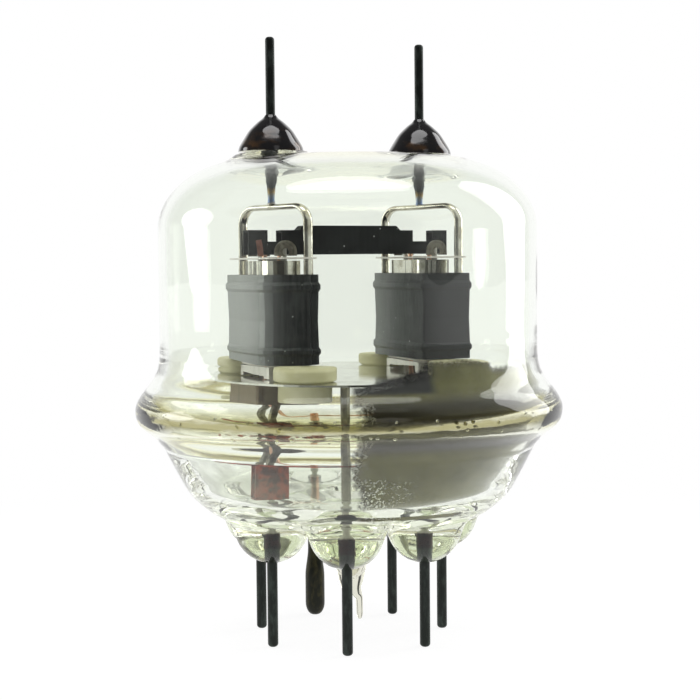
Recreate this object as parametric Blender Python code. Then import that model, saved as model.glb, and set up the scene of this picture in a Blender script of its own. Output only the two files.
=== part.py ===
"""A twin power tube: glass envelope, seven-pin base, and two electrode units side by side.

Run with: blender --background --python part.py

Units are metres and +Z is up. The origin is the centre of the circle that the base pins stand on,
at the level of their tips. The two anode pins lie along X, and the thick index pin is on +Y.
The right electrode unit is the left one turned by half a turn about the tube's axis.
"""

import math

import bmesh
import bpy
from mathutils import Matrix, Vector

MM = 0.001

# Fits between pieces
SEAT_GAP = 0.2 * MM
WELD_GAP = 0.15 * MM
MERGE = 1e-7

# Facets round a turned piece
GLASS_FACETS = 36
DISC_POINTS = 60
PIN_FACETS = 10
CAP_FACETS = 16
BEAD_FACETS = 12
ROD_FACETS = 8
WIRE_FACETS = 6

# Glass envelope
BULB_RADIUS = 25.2 * MM
BULB_WALL = 1.1 * MM
CROWN_HEIGHT = 64.0 * MM
CROWN_DOME = 0.3 * MM
SHOULDER_ACROSS = 13.0 * MM
SHOULDER_DOWN = 9.3 * MM
FLANGE_RADIUS = 28.5 * MM
FLANGE_WALL = 3.2 * MM
SEAM_HEIGHT = 30.8 * MM
FLARE_RISE = 7.1 * MM
FLANGE_DEPTH = 4.8 * MM
BOWL_TOP = SEAM_HEIGHT - FLANGE_DEPTH
BOWL_TOP_RADIUS = 24.9 * MM
BOWL_WALL = 1.5 * MM
FLOOR_HEIGHT = 16.7 * MM
FLOOR_THICKNESS = 2.0 * MM
FLOOR_RADIUS = 18.2 * MM
BEAD_RADIUS = 4.9 * MM
BEAD_CENTRE_HEIGHT = 16.0 * MM
BEAD_INNER_RISE = 3.2 * MM
TIP_ROOT_RADIUS = 3.3 * MM
TIP_HEIGHT = 1.8 * MM
TIP_NECK_HEIGHT = 5.2 * MM
TIP_NECK_RADIUS = 0.56 * MM
TIP_NECK_ROUND = 0.4 * MM
TIP_LEAN = 1.3 * MM
TIP_ROUND = 0.5 * MM
BORE_PAST_END = 6.0 * MM

# Heights inside, which follow the floor, the seam and the crown
DISC_ABOVE_SEAM = 3.8 * MM
DISC_TOP = SEAM_HEIGHT + DISC_ABOVE_SEAM
DISC_THICKNESS = 0.3 * MM
HEADROOM = CROWN_HEIGHT - DISC_TOP
ANODE_TOP_SHARE = 0.476
UPPER_MICA_SHARE = 0.544
BRIDGE_TOP_SHARE = 0.694
HOOP_TOP_SHARE = 0.8
BOWL_ROOM = DISC_TOP - DISC_THICKNESS - FLOOR_HEIGHT - FLOOR_THICKNESS
LINK_SHARE = 0.404
GETTER_SHARE = 0.532

# Base pins
PIN_CIRCLE_RADIUS = 12.7 * MM
PIN_COUNT = 7
PIN_RADIUS = 0.68 * MM
INDEX_PIN_RADIUS = 1.38 * MM
PIN_FLAT = 0.3
PIN_END_STEPS = 4
COLLAR_RADIUS = 0.78 * MM
COLLAR_BOTTOM = 13.2 * MM
COLLAR_TOP = 15.4 * MM
CONE_TOP = 17.2 * MM
PIN_TOP = 19.6 * MM
LEAD_RADIUS = 0.6 * MM

# Anode terminals on the crown
UNIT_OFFSET = 10.8 * MM
ANODE_PIN_RISE = 15.5 * MM
ANODE_PIN_TOP = CROWN_HEIGHT + ANODE_PIN_RISE
ANODE_PIN_RADIUS = 0.6 * MM
ANODE_LEAD_RADIUS = 0.75 * MM
ANODE_LEAD_TIP_RADIUS = 0.42 * MM
ANODE_LEAD_COLLAR = 2.0 * MM
ANODE_PIN_NECK = 0.5 * MM
BOSS_RADIUS = 4.7 * MM
BOSS_RISE = 0.5 * MM
BOSS_TAPER = 0.1 * MM
SPIGOT_RADIUS = 3.3 * MM
SPIGOT_RISE = 0.9 * MM
SPIGOT_TAPER = 0.3 * MM
CAP_RADIUS = 4.3 * MM
CAP_HEIGHT = 4.7 * MM
CAP_WALL = 0.55 * MM
CAP_HOLLOW = 0.62

# Anodes: flattened boxes, each with one rounded end, one flat end and two formed beads
ANODE_HALF_LENGTH = 8.0 * MM
ANODE_HALF_THICKNESS = 3.8 * MM
ANODE_SIDE_CROWN = 0.3 * MM
ANODE_STEP = 2.6 * MM
ANODE_WALL = 0.25 * MM
ANODE_ABOVE_DISC = 2.15 * MM
ANODE_BOTTOM = DISC_TOP + ANODE_ABOVE_DISC
ANODE_TOP = DISC_TOP + HEADROOM * ANODE_TOP_SHARE
ANODE_LOW_BEAD_INSET = 1.85 * MM
ANODE_HIGH_BEAD_INSET = 1.6 * MM
ANODE_BEAD_WIDTH = 1.3 * MM
ANODE_BEAD_RISE = 0.25 * MM
ANODE_WAIST = 0.12 * MM
ANODE_ROUND_RADIUS = 3.2 * MM
ANODE_TIGHT_RADIUS = 0.9 * MM
ANODE_SHARP_RADIUS = 0.35 * MM
ANODE_RIB_ACROSS = 1.5 * MM
ANODE_RIB_HALF_WIDTH = 0.7 * MM
ANODE_RIB_RISE = 0.4 * MM

# Hoops that hang the anodes from the anode pins
HOOP_TOP = DISC_TOP + HEADROOM * HOOP_TOP_SHARE
HOOP_WIDTH = 1.45 * MM
HOOP_THICKNESS = 0.9 * MM
HOOP_CORNER = 2.4 * MM
HOOP_LEG_ACROSS = 2.25 * MM
HOOP_LEG_ALONG = 6.1 * MM
HOOP_CLEARANCE = 1.2 * MM

# Electrodes inside each anode
MICA_THICKNESS = 0.22 * MM
UPPER_MICA_HEIGHT = DISC_TOP + HEADROOM * UPPER_MICA_SHARE
LOWER_MICA_ABOVE_DISC = 1.7 * MM
LOWER_MICA_HEIGHT = DISC_TOP + LOWER_MICA_ABOVE_DISC
UPPER_MICA_HALF_LENGTH = 8.2 * MM
UPPER_MICA_HALF_WIDTH = 3.5 * MM
LOWER_MICA_HALF_LENGTH = 5.7 * MM
LOWER_MICA_HALF_WIDTH = 2.9 * MM
MICA_CORNER = 1.6 * MM
CATHODE_HALF_WIDTH = 0.75 * MM
CATHODE_HALF_LENGTH = 1.5 * MM
CATHODE_WALL = 0.15 * MM
CATHODE_PAST_MICA = 0.3 * MM
CATHODE_TOP = UPPER_MICA_HEIGHT + CATHODE_PAST_MICA
CATHODE_ABOVE_DISC = 0.4 * MM
CATHODE_BOTTOM = DISC_TOP + CATHODE_ABOVE_DISC
HEATER_RADIUS = 0.22 * MM
HEATER_HALF_SPREAD = 0.75 * MM
HEATER_DEPTH = 0.8 * MM
HEATER_BELOW_DISC = 1.2 * MM
HEATER_BOTTOM = DISC_TOP - HEATER_BELOW_DISC
CONTROL_ROD_ALONG = 2.9 * MM
CONTROL_ROD_RADIUS = 0.35 * MM
CONTROL_GRID_HALF_WIDTH = 1.2 * MM
SCREEN_ROD_ALONG = 4.3 * MM
SCREEN_ROD_RADIUS = 0.4 * MM
SCREEN_GRID_HALF_WIDTH = 1.85 * MM
GRID_WIRE_RADIUS = 0.12 * MM
GRID_TURNS = 5
GRID_END_MARGIN = 1.5 * MM
GRID_ROD_PAST_MICA = 1.6 * MM
GRID_ROD_TOP = UPPER_MICA_HEIGHT + GRID_ROD_PAST_MICA
GRID_ROD_BELOW_DISC = 1.6 * MM
GRID_ROD_BOTTOM = DISC_TOP - GRID_ROD_BELOW_DISC
BEAM_HALF_WIDTH = 2.6 * MM
BEAM_HALF_LENGTH = 5.6 * MM
BEAM_WALL = 0.2 * MM
BEAM_WINDOW_HALF_LENGTH = 3.3 * MM
BEAM_WINDOW_MARGIN = 2.6 * MM
CLIP_HALF_WIDTH = 1.5 * MM
CLIP_THICKNESS = 0.28 * MM
CLIP_RISE = 2.0 * MM
CLIP_HOLE_RADIUS = 0.5 * MM

# Black bridge over both units
BRIDGE_HALF_LENGTH = 14.4 * MM
BRIDGE_RAISED_HALF_LENGTH = 7.3 * MM
BRIDGE_ABOVE_MICA = 0.6 * MM
BRIDGE_BOTTOM = UPPER_MICA_HEIGHT + BRIDGE_ABOVE_MICA
BRIDGE_TOP = DISC_TOP + HEADROOM * BRIDGE_TOP_SHARE
BRIDGE_END_DROP = 0.6 * MM
BRIDGE_HALF_WIDTH = 1.1 * MM
BRIDGE_WALL = 0.3 * MM
BRIDGE_LEFT_NOTCH = 2.0 * MM
BRIDGE_RIGHT_NOTCH = 3.1 * MM
BRIDGE_NOTCH_DEPTH = 1.5 * MM
TAB_WIDTH = 0.9 * MM
TAB_HEIGHT = 2.1 * MM
TAB_THICKNESS = 0.16 * MM
TAB_OFFSET = -2.9 * MM

# Shield disc and the ceramic bushings that carry the anodes
DISC_RADIUS = 19.2 * MM
DISC_EAR_RADIUS = 4.6 * MM
DISC_SLOT_HALF_WIDTH = 2.2 * MM
DISC_SLOT_HALF_LENGTH = 5.2 * MM
BUSHING_ALONG = 10.4 * MM
BUSHING_SKEW = 0.3 * MM
BUSHING_FLANGE_RADIUS = 4.0 * MM
BUSHING_BODY_RADIUS = 3.4 * MM
BUSHING_BORE_RADIUS = 0.8 * MM
BUSHING_FLANGE = 1.8 * MM
BUSHING_BODY = 2.3 * MM
BUSHING_EDGE = 0.3 * MM
FOOT_WALL = 0.25 * MM
FOOT_HALF_WIDTH = 2.8 * MM
FOOT_HALF_LENGTH = 5.6 * MM
FOOT_CORNER = 0.6 * MM
FOOT_LEG = 1.6 * MM
FOOT_ARCH = 0.45 * MM
SKIRT_HALF_WIDTH = 4.3 * MM
SKIRT_HALF_LENGTH = 5.7 * MM
SKIRT_HEIGHT = 2.5 * MM
LUG_HALF_LENGTH = 1.6 * MM
LUG_THICKNESS = 0.5 * MM
LEAD_STRAIGHT = 3.0 * MM

# Bypass capacitor and getter below the disc
CAPACITOR_WIDTH = 4.5 * MM
CAPACITOR_SHIFT = -0.7 * MM
CAPACITOR_HEIGHT = 5.2 * MM
CAPACITOR_THICKNESS = 0.9 * MM
CAPACITOR_BOTTOM = 19.4 * MM
CAPACITOR_PLATE = 0.25 * MM
GETTER_RADIUS = 2.6 * MM
GETTER_WIRE_RADIUS = 0.55 * MM
GETTER_HEIGHT = FLOOR_HEIGHT + FLOOR_THICKNESS + BOWL_ROOM * GETTER_SHARE
GETTER_RIM_DISTANCE = 17.0 * MM
GETTER_ANGLE = 51.4
LINK_HEIGHT = FLOOR_HEIGHT + FLOOR_THICKNESS + BOWL_ROOM * LINK_SHARE
LINK_RADIUS = 0.35 * MM


class Finish:
    """A plain surface: base colour, roughness and metallic value."""

    def __init__(self, name, colour, roughness, metallic=0.0, transmission=0.0):
        self.material = bpy.data.materials.new(name)
        self.material.use_nodes = True
        self.material.diffuse_color = (*colour, 1.0)
        shader = self.material.node_tree.nodes["Principled BSDF"]
        shader.inputs["Base Color"].default_value = (*colour, 1.0)
        shader.inputs["Roughness"].default_value = roughness
        shader.inputs["Metallic"].default_value = metallic
        shader.inputs["Transmission Weight"].default_value = transmission


def clear_scene():
    for obj in list(bpy.data.objects):
        bpy.data.objects.remove(obj, do_unlink=True)


def finish_object(name, bm, finish, smooth=True):
    """Turns a closed bmesh into a named object with outward faces."""
    bmesh.ops.remove_doubles(bm, verts=bm.verts, dist=MERGE)
    bmesh.ops.recalc_face_normals(bm, faces=bm.faces)
    mesh = bpy.data.meshes.new(name)
    bm.to_mesh(mesh)
    bm.free()
    if smooth:
        mesh.shade_smooth()
        mesh.set_sharp_from_angle(angle=math.radians(35))
    if finish:
        mesh.materials.append(finish.material)
    obj = bpy.data.objects.new(name, mesh)
    bpy.context.scene.collection.objects.link(obj)
    return obj


def helper(obj):
    """Marks an object as a cutter or a shape that another object takes in."""
    obj.hide_render = True
    obj.display_type = "WIRE"
    return obj


def combine(obj, other, operation):
    modifier = obj.modifiers.new(f"{operation.lower()} {other.name}", "BOOLEAN")
    modifier.operation = operation
    modifier.object = other
    modifier.solver = "EXACT"


def smooth_curve(points, steps):
    """Points along a smooth curve through the given ones (Catmull-Rom)."""
    ends = [Vector(points[0]) * 2 - Vector(points[1]), Vector(points[-1]) * 2 - Vector(points[-2])]
    through = [ends[0], *map(Vector, points), ends[1]]
    curve = []
    for i in range(1, len(through) - 2):
        before, start, end, after = through[i - 1 : i + 3]
        for step in range(steps):
            t = step / steps
            curve.append(
                0.5
                * (
                    2 * start
                    + (end - before) * t
                    + (2 * before - 5 * start + 4 * end - after) * t**2
                    + (3 * start - before - 3 * end + after) * t**3
                )
            )
    curve.append(Vector(points[-1]))
    return curve


def lathe_mesh(profile, facets, centre=(0.0, 0.0), closed=False):
    """Turns (radius, height) points about a vertical axis. A radius of 0 gives one point on it."""
    bm = bmesh.new()
    rings = []
    for radius, height in profile:
        ring = circle(radius, facets, centre) if radius else [Vector(centre)]
        rings.append([bm.verts.new((point.x, point.y, height)) for point in ring])
    pairs = list(zip(rings, rings[1:]))
    if closed:
        pairs.append((rings[-1], rings[0]))
    for low, high in pairs:
        if len(low) == len(high) == 1:
            continue
        for i in range(facets):
            j = (i + 1) % facets
            corners = (low[i % len(low)], low[j % len(low)], high[j % len(high)], high[i % len(high)])
            bm.faces.new(list(dict.fromkeys(corners)))
    bmesh.ops.recalc_face_normals(bm, faces=bm.faces)
    return bm


def lathe(name, profile, finish, facets=PIN_FACETS, centre=(0.0, 0.0), closed=False):
    return finish_object(name, lathe_mesh(profile, facets, centre, closed), finish)


def loft(name, rings, finish, closed=False, smooth=True):
    """Joins equal rings of points in order. Open lofts get a cap at each end."""
    bm = bmesh.new()
    loops = [[bm.verts.new(point) for point in ring] for ring in rings]
    count = len(loops[0])
    following = loops[1:] + ([loops[0]] if closed else [])
    for low, high in zip(loops, following):
        for i in range(count):
            j = (i + 1) % count
            bm.faces.new((low[i], low[j], high[j], high[i]))
    if not closed:
        bm.faces.new(loops[0])
        bm.faces.new(loops[-1])
    return finish_object(name, bm, finish, smooth)


def level(outline, height):
    """A flat outline as a ring of points at one height."""
    return [Vector((point[0], point[1], height)) for point in outline]


def tube(name, outer, inner, bottom, top, finish):
    """A straight tube between two outlines with the same number of points."""
    rings = [level(outer, bottom), level(outer, top), level(inner, top), level(inner, bottom)]
    return loft(name, rings, finish, closed=True)


def circle(radius, count=PIN_FACETS, centre=(0.0, 0.0)):
    return [
        Vector(
            (
                centre[0] + radius * math.cos(math.tau * i / count),
                centre[1] + radius * math.sin(math.tau * i / count),
            )
        )
        for i in range(count)
    ]


def oval(half_width, half_length, count=12):
    return [
        Vector((half_width * math.cos(math.tau * i / count), half_length * math.sin(math.tau * i / count)))
        for i in range(count)
    ]


def stadium(half_width, half_length, per_end=6):
    """Two half circles joined by straight sides along Y."""
    points = []
    for side in (1, -1):
        middle = side * (half_length - half_width)
        for i in range(per_end + 1):
            angle = math.pi * i / per_end + (0 if side > 0 else math.pi)
            points.append(
                Vector((half_width * math.cos(angle), middle + half_width * math.sin(angle)))
            )
    return points


def rounded_rectangle(half_width, half_length, radii, per_corner=3):
    """An outline with its own radius at each corner, anticlockwise from (+X, +Y)."""
    points = []
    for quarter, radius in enumerate(radii):
        across = 1 if quarter in (0, 3) else -1
        along = 1 if quarter in (0, 1) else -1
        middle = Vector((across * (half_width - radius), along * (half_length - radius)))
        for i in range(per_corner + 1):
            angle = math.pi / 2 * (quarter + i / per_corner)
            points.append(middle + radius * Vector((math.cos(angle), math.sin(angle))))
    return points


def plate(name, outline, holes, bottom, top, finish):
    """A flat sheet with holes: the loops are filled once, then extruded."""
    bm = bmesh.new()
    for loop in [outline, *holes]:
        verts = [bm.verts.new((point[0], point[1], bottom)) for point in loop]
        for i, vert in enumerate(verts):
            bm.edges.new((vert, verts[(i + 1) % len(verts)]))
    bmesh.ops.triangle_fill(bm, use_beauty=True, edges=bm.edges)
    raised = bmesh.ops.extrude_face_region(bm, geom=bm.faces[:])
    moved = [part for part in raised["geom"] if isinstance(part, bmesh.types.BMVert)]
    bmesh.ops.translate(bm, verts=moved, vec=(0, 0, top - bottom))
    return finish_object(name, bm, finish)


def box(name, low, high, finish=None):
    bm = bmesh.new()
    bmesh.ops.create_cube(bm, size=1)
    size = Vector(high) - Vector(low)
    bmesh.ops.scale(bm, vec=size, verts=bm.verts)
    bmesh.ops.translate(bm, vec=(Vector(high) + Vector(low)) / 2, verts=bm.verts)
    return finish_object(name, bm, finish, smooth=False)


def sweep(path, section, side=None):
    """Rings of a flat section, given as (across, through) points, carried along a path."""
    tangents = [
        (path[min(i + 1, len(path) - 1)] - path[max(i - 1, 0)]).normalized() for i in range(len(path))
    ]
    side = side or Vector((0, 1, 0))
    rings = []
    for point, tangent in zip(path, tangents):
        side = (side - tangent * side.dot(tangent)).normalized()
        through = tangent.cross(side)
        rings.append([point + side * corner.x + through * corner.y for corner in section])
    return rings


def wire(name, path, radius, finish, facets=WIRE_FACETS):
    """A round wire along a path, with closed ends."""
    return loft(name, sweep(path, circle(radius, facets)), finish)


def settle(obj):
    """Keeps the result of an object's Booleans as its mesh, so that copies can share it."""
    depsgraph = bpy.context.evaluated_depsgraph_get()
    result = bpy.data.meshes.new_from_object(obj.evaluated_get(depsgraph))
    cutters = [modifier.object for modifier in obj.modifiers]
    obj.modifiers.clear()
    obj.data = result
    for cutter in cutters:
        bpy.data.objects.remove(cutter, do_unlink=True)


def pair(build, base_name):
    """Builds a piece about its own centre, places it left, and its half-turned copy right."""
    left = build(f"{base_name}_left")
    if left.modifiers:
        settle(left)
    left.location.x = -UNIT_OFFSET
    right = left.copy()
    right.name = f"{base_name}_right"
    right.location.x = UNIT_OFFSET
    right.rotation_euler.z = math.pi
    bpy.context.scene.collection.objects.link(right)


def pin_angle(number):
    """Angle of a base pin from the -Y side. Number 0 is the index pin."""
    return math.pi + number * math.tau / PIN_COUNT


def pin_place(number, radius=PIN_CIRCLE_RADIUS):
    angle = pin_angle(number)
    return Vector((radius * math.sin(angle), -radius * math.cos(angle)))


# Glass envelope


def shoulder(radius_inset, height_inset, steps=8):
    """The round of the bulb from its crown to its side, as (radius, height) points."""
    across = SHOULDER_ACROSS - radius_inset
    down = SHOULDER_DOWN - height_inset
    start_radius = BULB_RADIUS - SHOULDER_ACROSS
    side_height = CROWN_HEIGHT - SHOULDER_DOWN
    return [
        (
            start_radius + across * math.sin(math.pi / 2 * i / steps),
            side_height + down * math.cos(math.pi / 2 * i / steps),
        )
        for i in range(steps + 1)
    ]


def flange_upper():
    """The flare from the bulb's side out to the flange's widest point."""
    reach = FLANGE_RADIUS - BULB_RADIUS
    shape = ((0.0, 1.0), (0.12, 0.72), (0.5, 0.44), (0.86, 0.2), (1.0, 0.0))
    points = [(BULB_RADIUS + reach * out, SEAM_HEIGHT + FLARE_RISE * up) for out, up in shape]
    return [(p.x, p.y) for p in smooth_curve(points, 2)]


def flare_inside():
    """The inside of the flare, from the bulb's straight wall down to just above the seam."""
    reach = FLANGE_RADIUS - BULB_RADIUS
    wall = BULB_RADIUS - BULB_WALL
    shape = ((0.0, 0.915), (0.09, 0.62), (0.394, 0.338), (0.576, 0.197))
    return [(wall + reach * out, SEAM_HEIGHT + FLARE_RISE * up) for out, up in shape]


def flange_lower():
    """From the flange's widest point in to the top of the bowl."""
    reach = FLANGE_RADIUS - BOWL_TOP_RADIUS
    shape = ((1.0, 0.0), (0.88, 0.37), (0.36, 0.7), (0.0, 1.0))
    points = [(BOWL_TOP_RADIUS + reach * out, SEAM_HEIGHT - FLANGE_DEPTH * down) for out, down in shape]
    return [(p.x, p.y) for p in smooth_curve(points, 2)]


def bowl_side(inset):
    """The bowl from its top down to the edge of its floor, moved in by inset."""
    top = Vector((BOWL_TOP_RADIUS, BOWL_TOP))
    edge = Vector((FLOOR_RADIUS, FLOOR_HEIGHT))
    shape = ((0.0, 0.0), (0.33, 0.46), (0.57, 0.73), (1.0, 1.0))
    points = [
        (top.x + (edge.x - top.x) * across - inset, top.y + (edge.y - top.y) * down + inset * down)
        for across, down in shape
    ]
    return [(p.x, p.y) for p in smooth_curve(points, 2)]


def build_bulb(glass):
    half_gap = SEAT_GAP / 2
    outer = [(0, CROWN_HEIGHT + CROWN_DOME)]
    outer += shoulder(0, 0)
    outer += flange_upper()[:-1]
    outer += [(FLANGE_RADIUS, SEAM_HEIGHT + half_gap)]
    inner = [(0, CROWN_HEIGHT + CROWN_DOME - BULB_WALL)]
    inner += shoulder(BULB_WALL, BULB_WALL)
    inner += flare_inside()
    inner += [(FLANGE_RADIUS - FLANGE_WALL, SEAM_HEIGHT + half_gap)]
    bulb = lathe("glass_bulb", outer + inner[::-1], glass, GLASS_FACETS)
    bosses = bmesh.new()
    holes = bmesh.new()
    for side in (-1, 1):
        centre = (side * UNIT_OFFSET, 0)
        root = CROWN_HEIGHT - BULB_WALL / 2
        rim = CROWN_HEIGHT + BOSS_RISE
        boss = [
            (0, root),
            (BOSS_RADIUS, root),
            (BOSS_RADIUS - BOSS_TAPER, CROWN_HEIGHT + BOSS_RISE / 2),
            (CAP_RADIUS, rim),
            (SPIGOT_RADIUS, rim),
            (SPIGOT_RADIUS - SPIGOT_TAPER, rim + SPIGOT_RISE),
            (0, rim + SPIGOT_RISE),
        ]
        add_body(bosses, lathe_mesh(boss, CAP_FACETS, centre))
        bore = ANODE_LEAD_RADIUS + SEAT_GAP
        low, high = root - BORE_PAST_END, rim + BORE_PAST_END
        hole = [(0, low), (bore, low), (bore, high), (0, high)]
        add_body(holes, lathe_mesh(hole, PIN_FACETS, centre))
    combine(bulb, helper(finish_object("boss_shapes", bosses, None)), "UNION")
    combine(bulb, helper(finish_object("boss_holes", holes, None)), "DIFFERENCE")
    return bulb


def add_body(target, source):
    """Copies a bmesh into another one as a separate body."""
    mesh = bpy.data.meshes.new("body")
    source.to_mesh(mesh)
    source.free()
    target.from_mesh(mesh)
    bpy.data.meshes.remove(mesh)


def bead_mesh(centre, levels=6):
    """A pressed glass bead: a half ball below, a low mound above the floor."""
    profile = []
    for i in range(levels + 1):
        angle = -math.pi / 2 + math.pi * i / levels
        rise = BEAD_RADIUS if angle < 0 else BEAD_INNER_RISE
        across = BEAD_RADIUS * math.cos(angle) if 0 < i < levels else 0
        profile.append((across, BEAD_CENTRE_HEIGHT + rise * math.sin(angle)))
    return lathe_mesh(profile, BEAD_FACETS, centre)


def tip_rings(count=BEAD_FACETS):
    """The drawn-off exhaust tip: a cone that leans a little towards its thin end."""
    drop = FLOOR_HEIGHT - TIP_NECK_HEIGHT
    cone = (
        (-0.09, 1.1, 0.0),
        (0.09, 1.0, 0.0),
        (0.44, 0.82, 0.0),
        (0.68, 0.66, 0.0),
        (0.81, 0.58, 0.0),
        (0.913, 0.45, 0.05),
        (0.965, 0.34, 0.3),
        (1.0, 0.24, 0.65),
    )
    stations = [(FLOOR_HEIGHT - drop * down, TIP_ROOT_RADIUS * out, lean) for down, out, lean in cone]
    stations += [
        (TIP_NECK_HEIGHT - TIP_NECK_ROUND, TIP_NECK_RADIUS, 0.9),
        (TIP_HEIGHT + TIP_ROUND, TIP_NECK_RADIUS * 0.8, 1.0),
        (TIP_HEIGHT, TIP_NECK_RADIUS * 0.4, 1.0),
    ]
    return [
        level(circle(radius, count, (TIP_LEAN * lean, 0)), height) for height, radius, lean in stations
    ]


def pin_profile(radius, grow=0.0, past_ends=0.0):
    """A base pin from its tip to its inner end. The same outline, grown, makes its hole."""
    tip = radius * (1 - PIN_FLAT)
    body = radius + grow
    points = [(0, -past_ends)]
    if past_ends:
        points.append((body, -past_ends))
    else:
        for i in range(PIN_END_STEPS + 1):
            turn = math.pi / 2 * i / PIN_END_STEPS
            points.append((radius - tip * (1 - math.sin(turn)), tip * (1 - math.cos(turn))))
    step = COLLAR_BOTTOM + (grow if radius > COLLAR_RADIUS else -grow)
    points += [
        (body, step),
        (COLLAR_RADIUS + grow, step),
        (COLLAR_RADIUS + grow, COLLAR_TOP + grow),
        (LEAD_RADIUS + grow, CONE_TOP + grow),
        (LEAD_RADIUS + grow, PIN_TOP + past_ends),
        (0, PIN_TOP + past_ends),
    ]
    return points


def pin_radius(number):
    return INDEX_PIN_RADIUS if number == 0 else PIN_RADIUS


def build_base(glass):
    half_gap = SEAT_GAP / 2
    outer = [(FLANGE_RADIUS, SEAM_HEIGHT - half_gap)]
    outer += flange_lower()[1:]
    outer += bowl_side(0)[1:]
    outer += [(0, FLOOR_HEIGHT)]
    throat = BOWL_TOP_RADIUS - BOWL_WALL
    widest = FLANGE_RADIUS - FLANGE_WALL
    inner = [(widest, SEAM_HEIGHT - half_gap)]
    knee_out, knee_up = 0.32, 0.62
    inner += [(throat + (widest - throat) * knee_out, BOWL_TOP + FLANGE_DEPTH * knee_up)]
    inner += bowl_side(BOWL_WALL)[:-1]
    inner += [
        (FLOOR_RADIUS - BOWL_WALL, FLOOR_HEIGHT + FLOOR_THICKNESS),
        (0, FLOOR_HEIGHT + FLOOR_THICKNESS),
    ]
    base = lathe("glass_base", outer + inner[::-1], glass, GLASS_FACETS, closed=True)
    beads = bmesh.new()
    holes = bmesh.new()
    for number in range(PIN_COUNT):
        centre = pin_place(number)
        add_body(beads, bead_mesh(centre))
        hole = pin_profile(pin_radius(number), SEAT_GAP, BORE_PAST_END)
        add_body(holes, lathe_mesh(hole, PIN_FACETS, centre))
    combine(base, helper(finish_object("bead_shapes", beads, None)), "UNION")
    combine(base, helper(loft("exhaust_tip_shape", tip_rings(), None)), "UNION")
    combine(base, helper(finish_object("bead_holes", holes, None)), "DIFFERENCE")
    return base


def build_pins(oxide):
    for number in range(PIN_COUNT):
        name = f"base_pin_{number}" if number else "index_pin"
        lathe(name, pin_profile(pin_radius(number)), oxide, centre=pin_place(number))


# Anode terminals


def cap_outline():
    """The bell of a terminal cap, from its rim to its neck."""
    rim = CROWN_HEIGHT + BOSS_RISE + SEAT_GAP
    shape = ((1.0, 0.0), (0.955, 0.15), (0.8, 0.39), (0.636, 0.61), (0.41, 0.81), (0.24, 0.95))
    points = [(CAP_RADIUS * out, rim + CAP_HEIGHT * up) for out, up in shape]
    return [(p.x, p.y) for p in smooth_curve(points, 2)]


def build_terminals(oxide, cap_metal, nickel):
    for side, label in ((-1, "left"), (1, "right")):
        centre = (side * UNIT_OFFSET, 0)
        outer = cap_outline()
        inside = CAP_RADIUS - CAP_WALL
        ceiling = outer[0][1] + CAP_HEIGHT * CAP_HOLLOW
        bore = ANODE_PIN_RADIUS + SEAT_GAP
        inner = [
            (inside, outer[0][1]),
            (inside, ceiling - inside * 0.6),
            (inside * 0.6, ceiling - inside * 0.1),
            (bore, ceiling),
            (bore, outer[-1][1]),
        ]
        lathe(f"anode_cap_{label}", inner + outer[::-1], cap_metal, CAP_FACETS, centre, closed=True)
        collar_bottom = CROWN_HEIGHT - BULB_WALL - ANODE_LEAD_COLLAR
        collar_top = CROWN_HEIGHT + BOSS_RISE + SPIGOT_RISE
        tip = ANODE_PIN_RADIUS * (1 - PIN_FLAT)
        rod = [
            (0, HOOP_TOP + WELD_GAP),
            (ANODE_LEAD_TIP_RADIUS, HOOP_TOP + WELD_GAP),
            (ANODE_LEAD_RADIUS, collar_bottom),
            (ANODE_LEAD_RADIUS, collar_top),
            (ANODE_PIN_RADIUS, collar_top + ANODE_PIN_NECK),
            (ANODE_PIN_RADIUS, ANODE_PIN_TOP - tip),
            (ANODE_PIN_RADIUS * 0.85, ANODE_PIN_TOP - tip * 0.4),
            (ANODE_PIN_RADIUS * 0.5, ANODE_PIN_TOP),
            (0, ANODE_PIN_TOP),
        ]
        lathe(f"anode_pin_{label}", rod, oxide, centre=centre)
        middle = Vector((side * UNIT_OFFSET, 0, 0))
        section = oval(HOOP_WIDTH / 2, HOOP_THICKNESS / 2, CAP_FACETS // 2)
        square_to_hoop = Vector((HOOP_LEG_ALONG, HOOP_LEG_ACROSS, 0)).normalized()
        rings = sweep([middle + point for point in hoop_path()], section, square_to_hoop)
        loft(f"anode_hoop_{label}", rings, nickel)


def hoop_path():
    """Up one leg, over the top with round corners, and down the other."""
    leg = Vector((HOOP_LEG_ACROSS, -HOOP_LEG_ALONG, 0))
    along = leg.normalized()
    top = HOOP_TOP - HOOP_THICKNESS / 2
    bottom = Vector((0, 0, ANODE_BOTTOM + HOOP_CLEARANCE))
    path = [leg + bottom]
    for side in (1, -1):
        for i in range(6):
            turn = math.pi / 2 * (i / 5 if side > 0 else 1 - i / 5)
            across = leg.length - HOOP_CORNER + HOOP_CORNER * math.cos(turn)
            height = top - HOOP_CORNER + HOOP_CORNER * math.sin(turn)
            path.append(along * (side * across) + Vector((0, 0, height)))
    path.append(bottom - leg)
    return path


# Electrode units, drawn about their own centre


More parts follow.
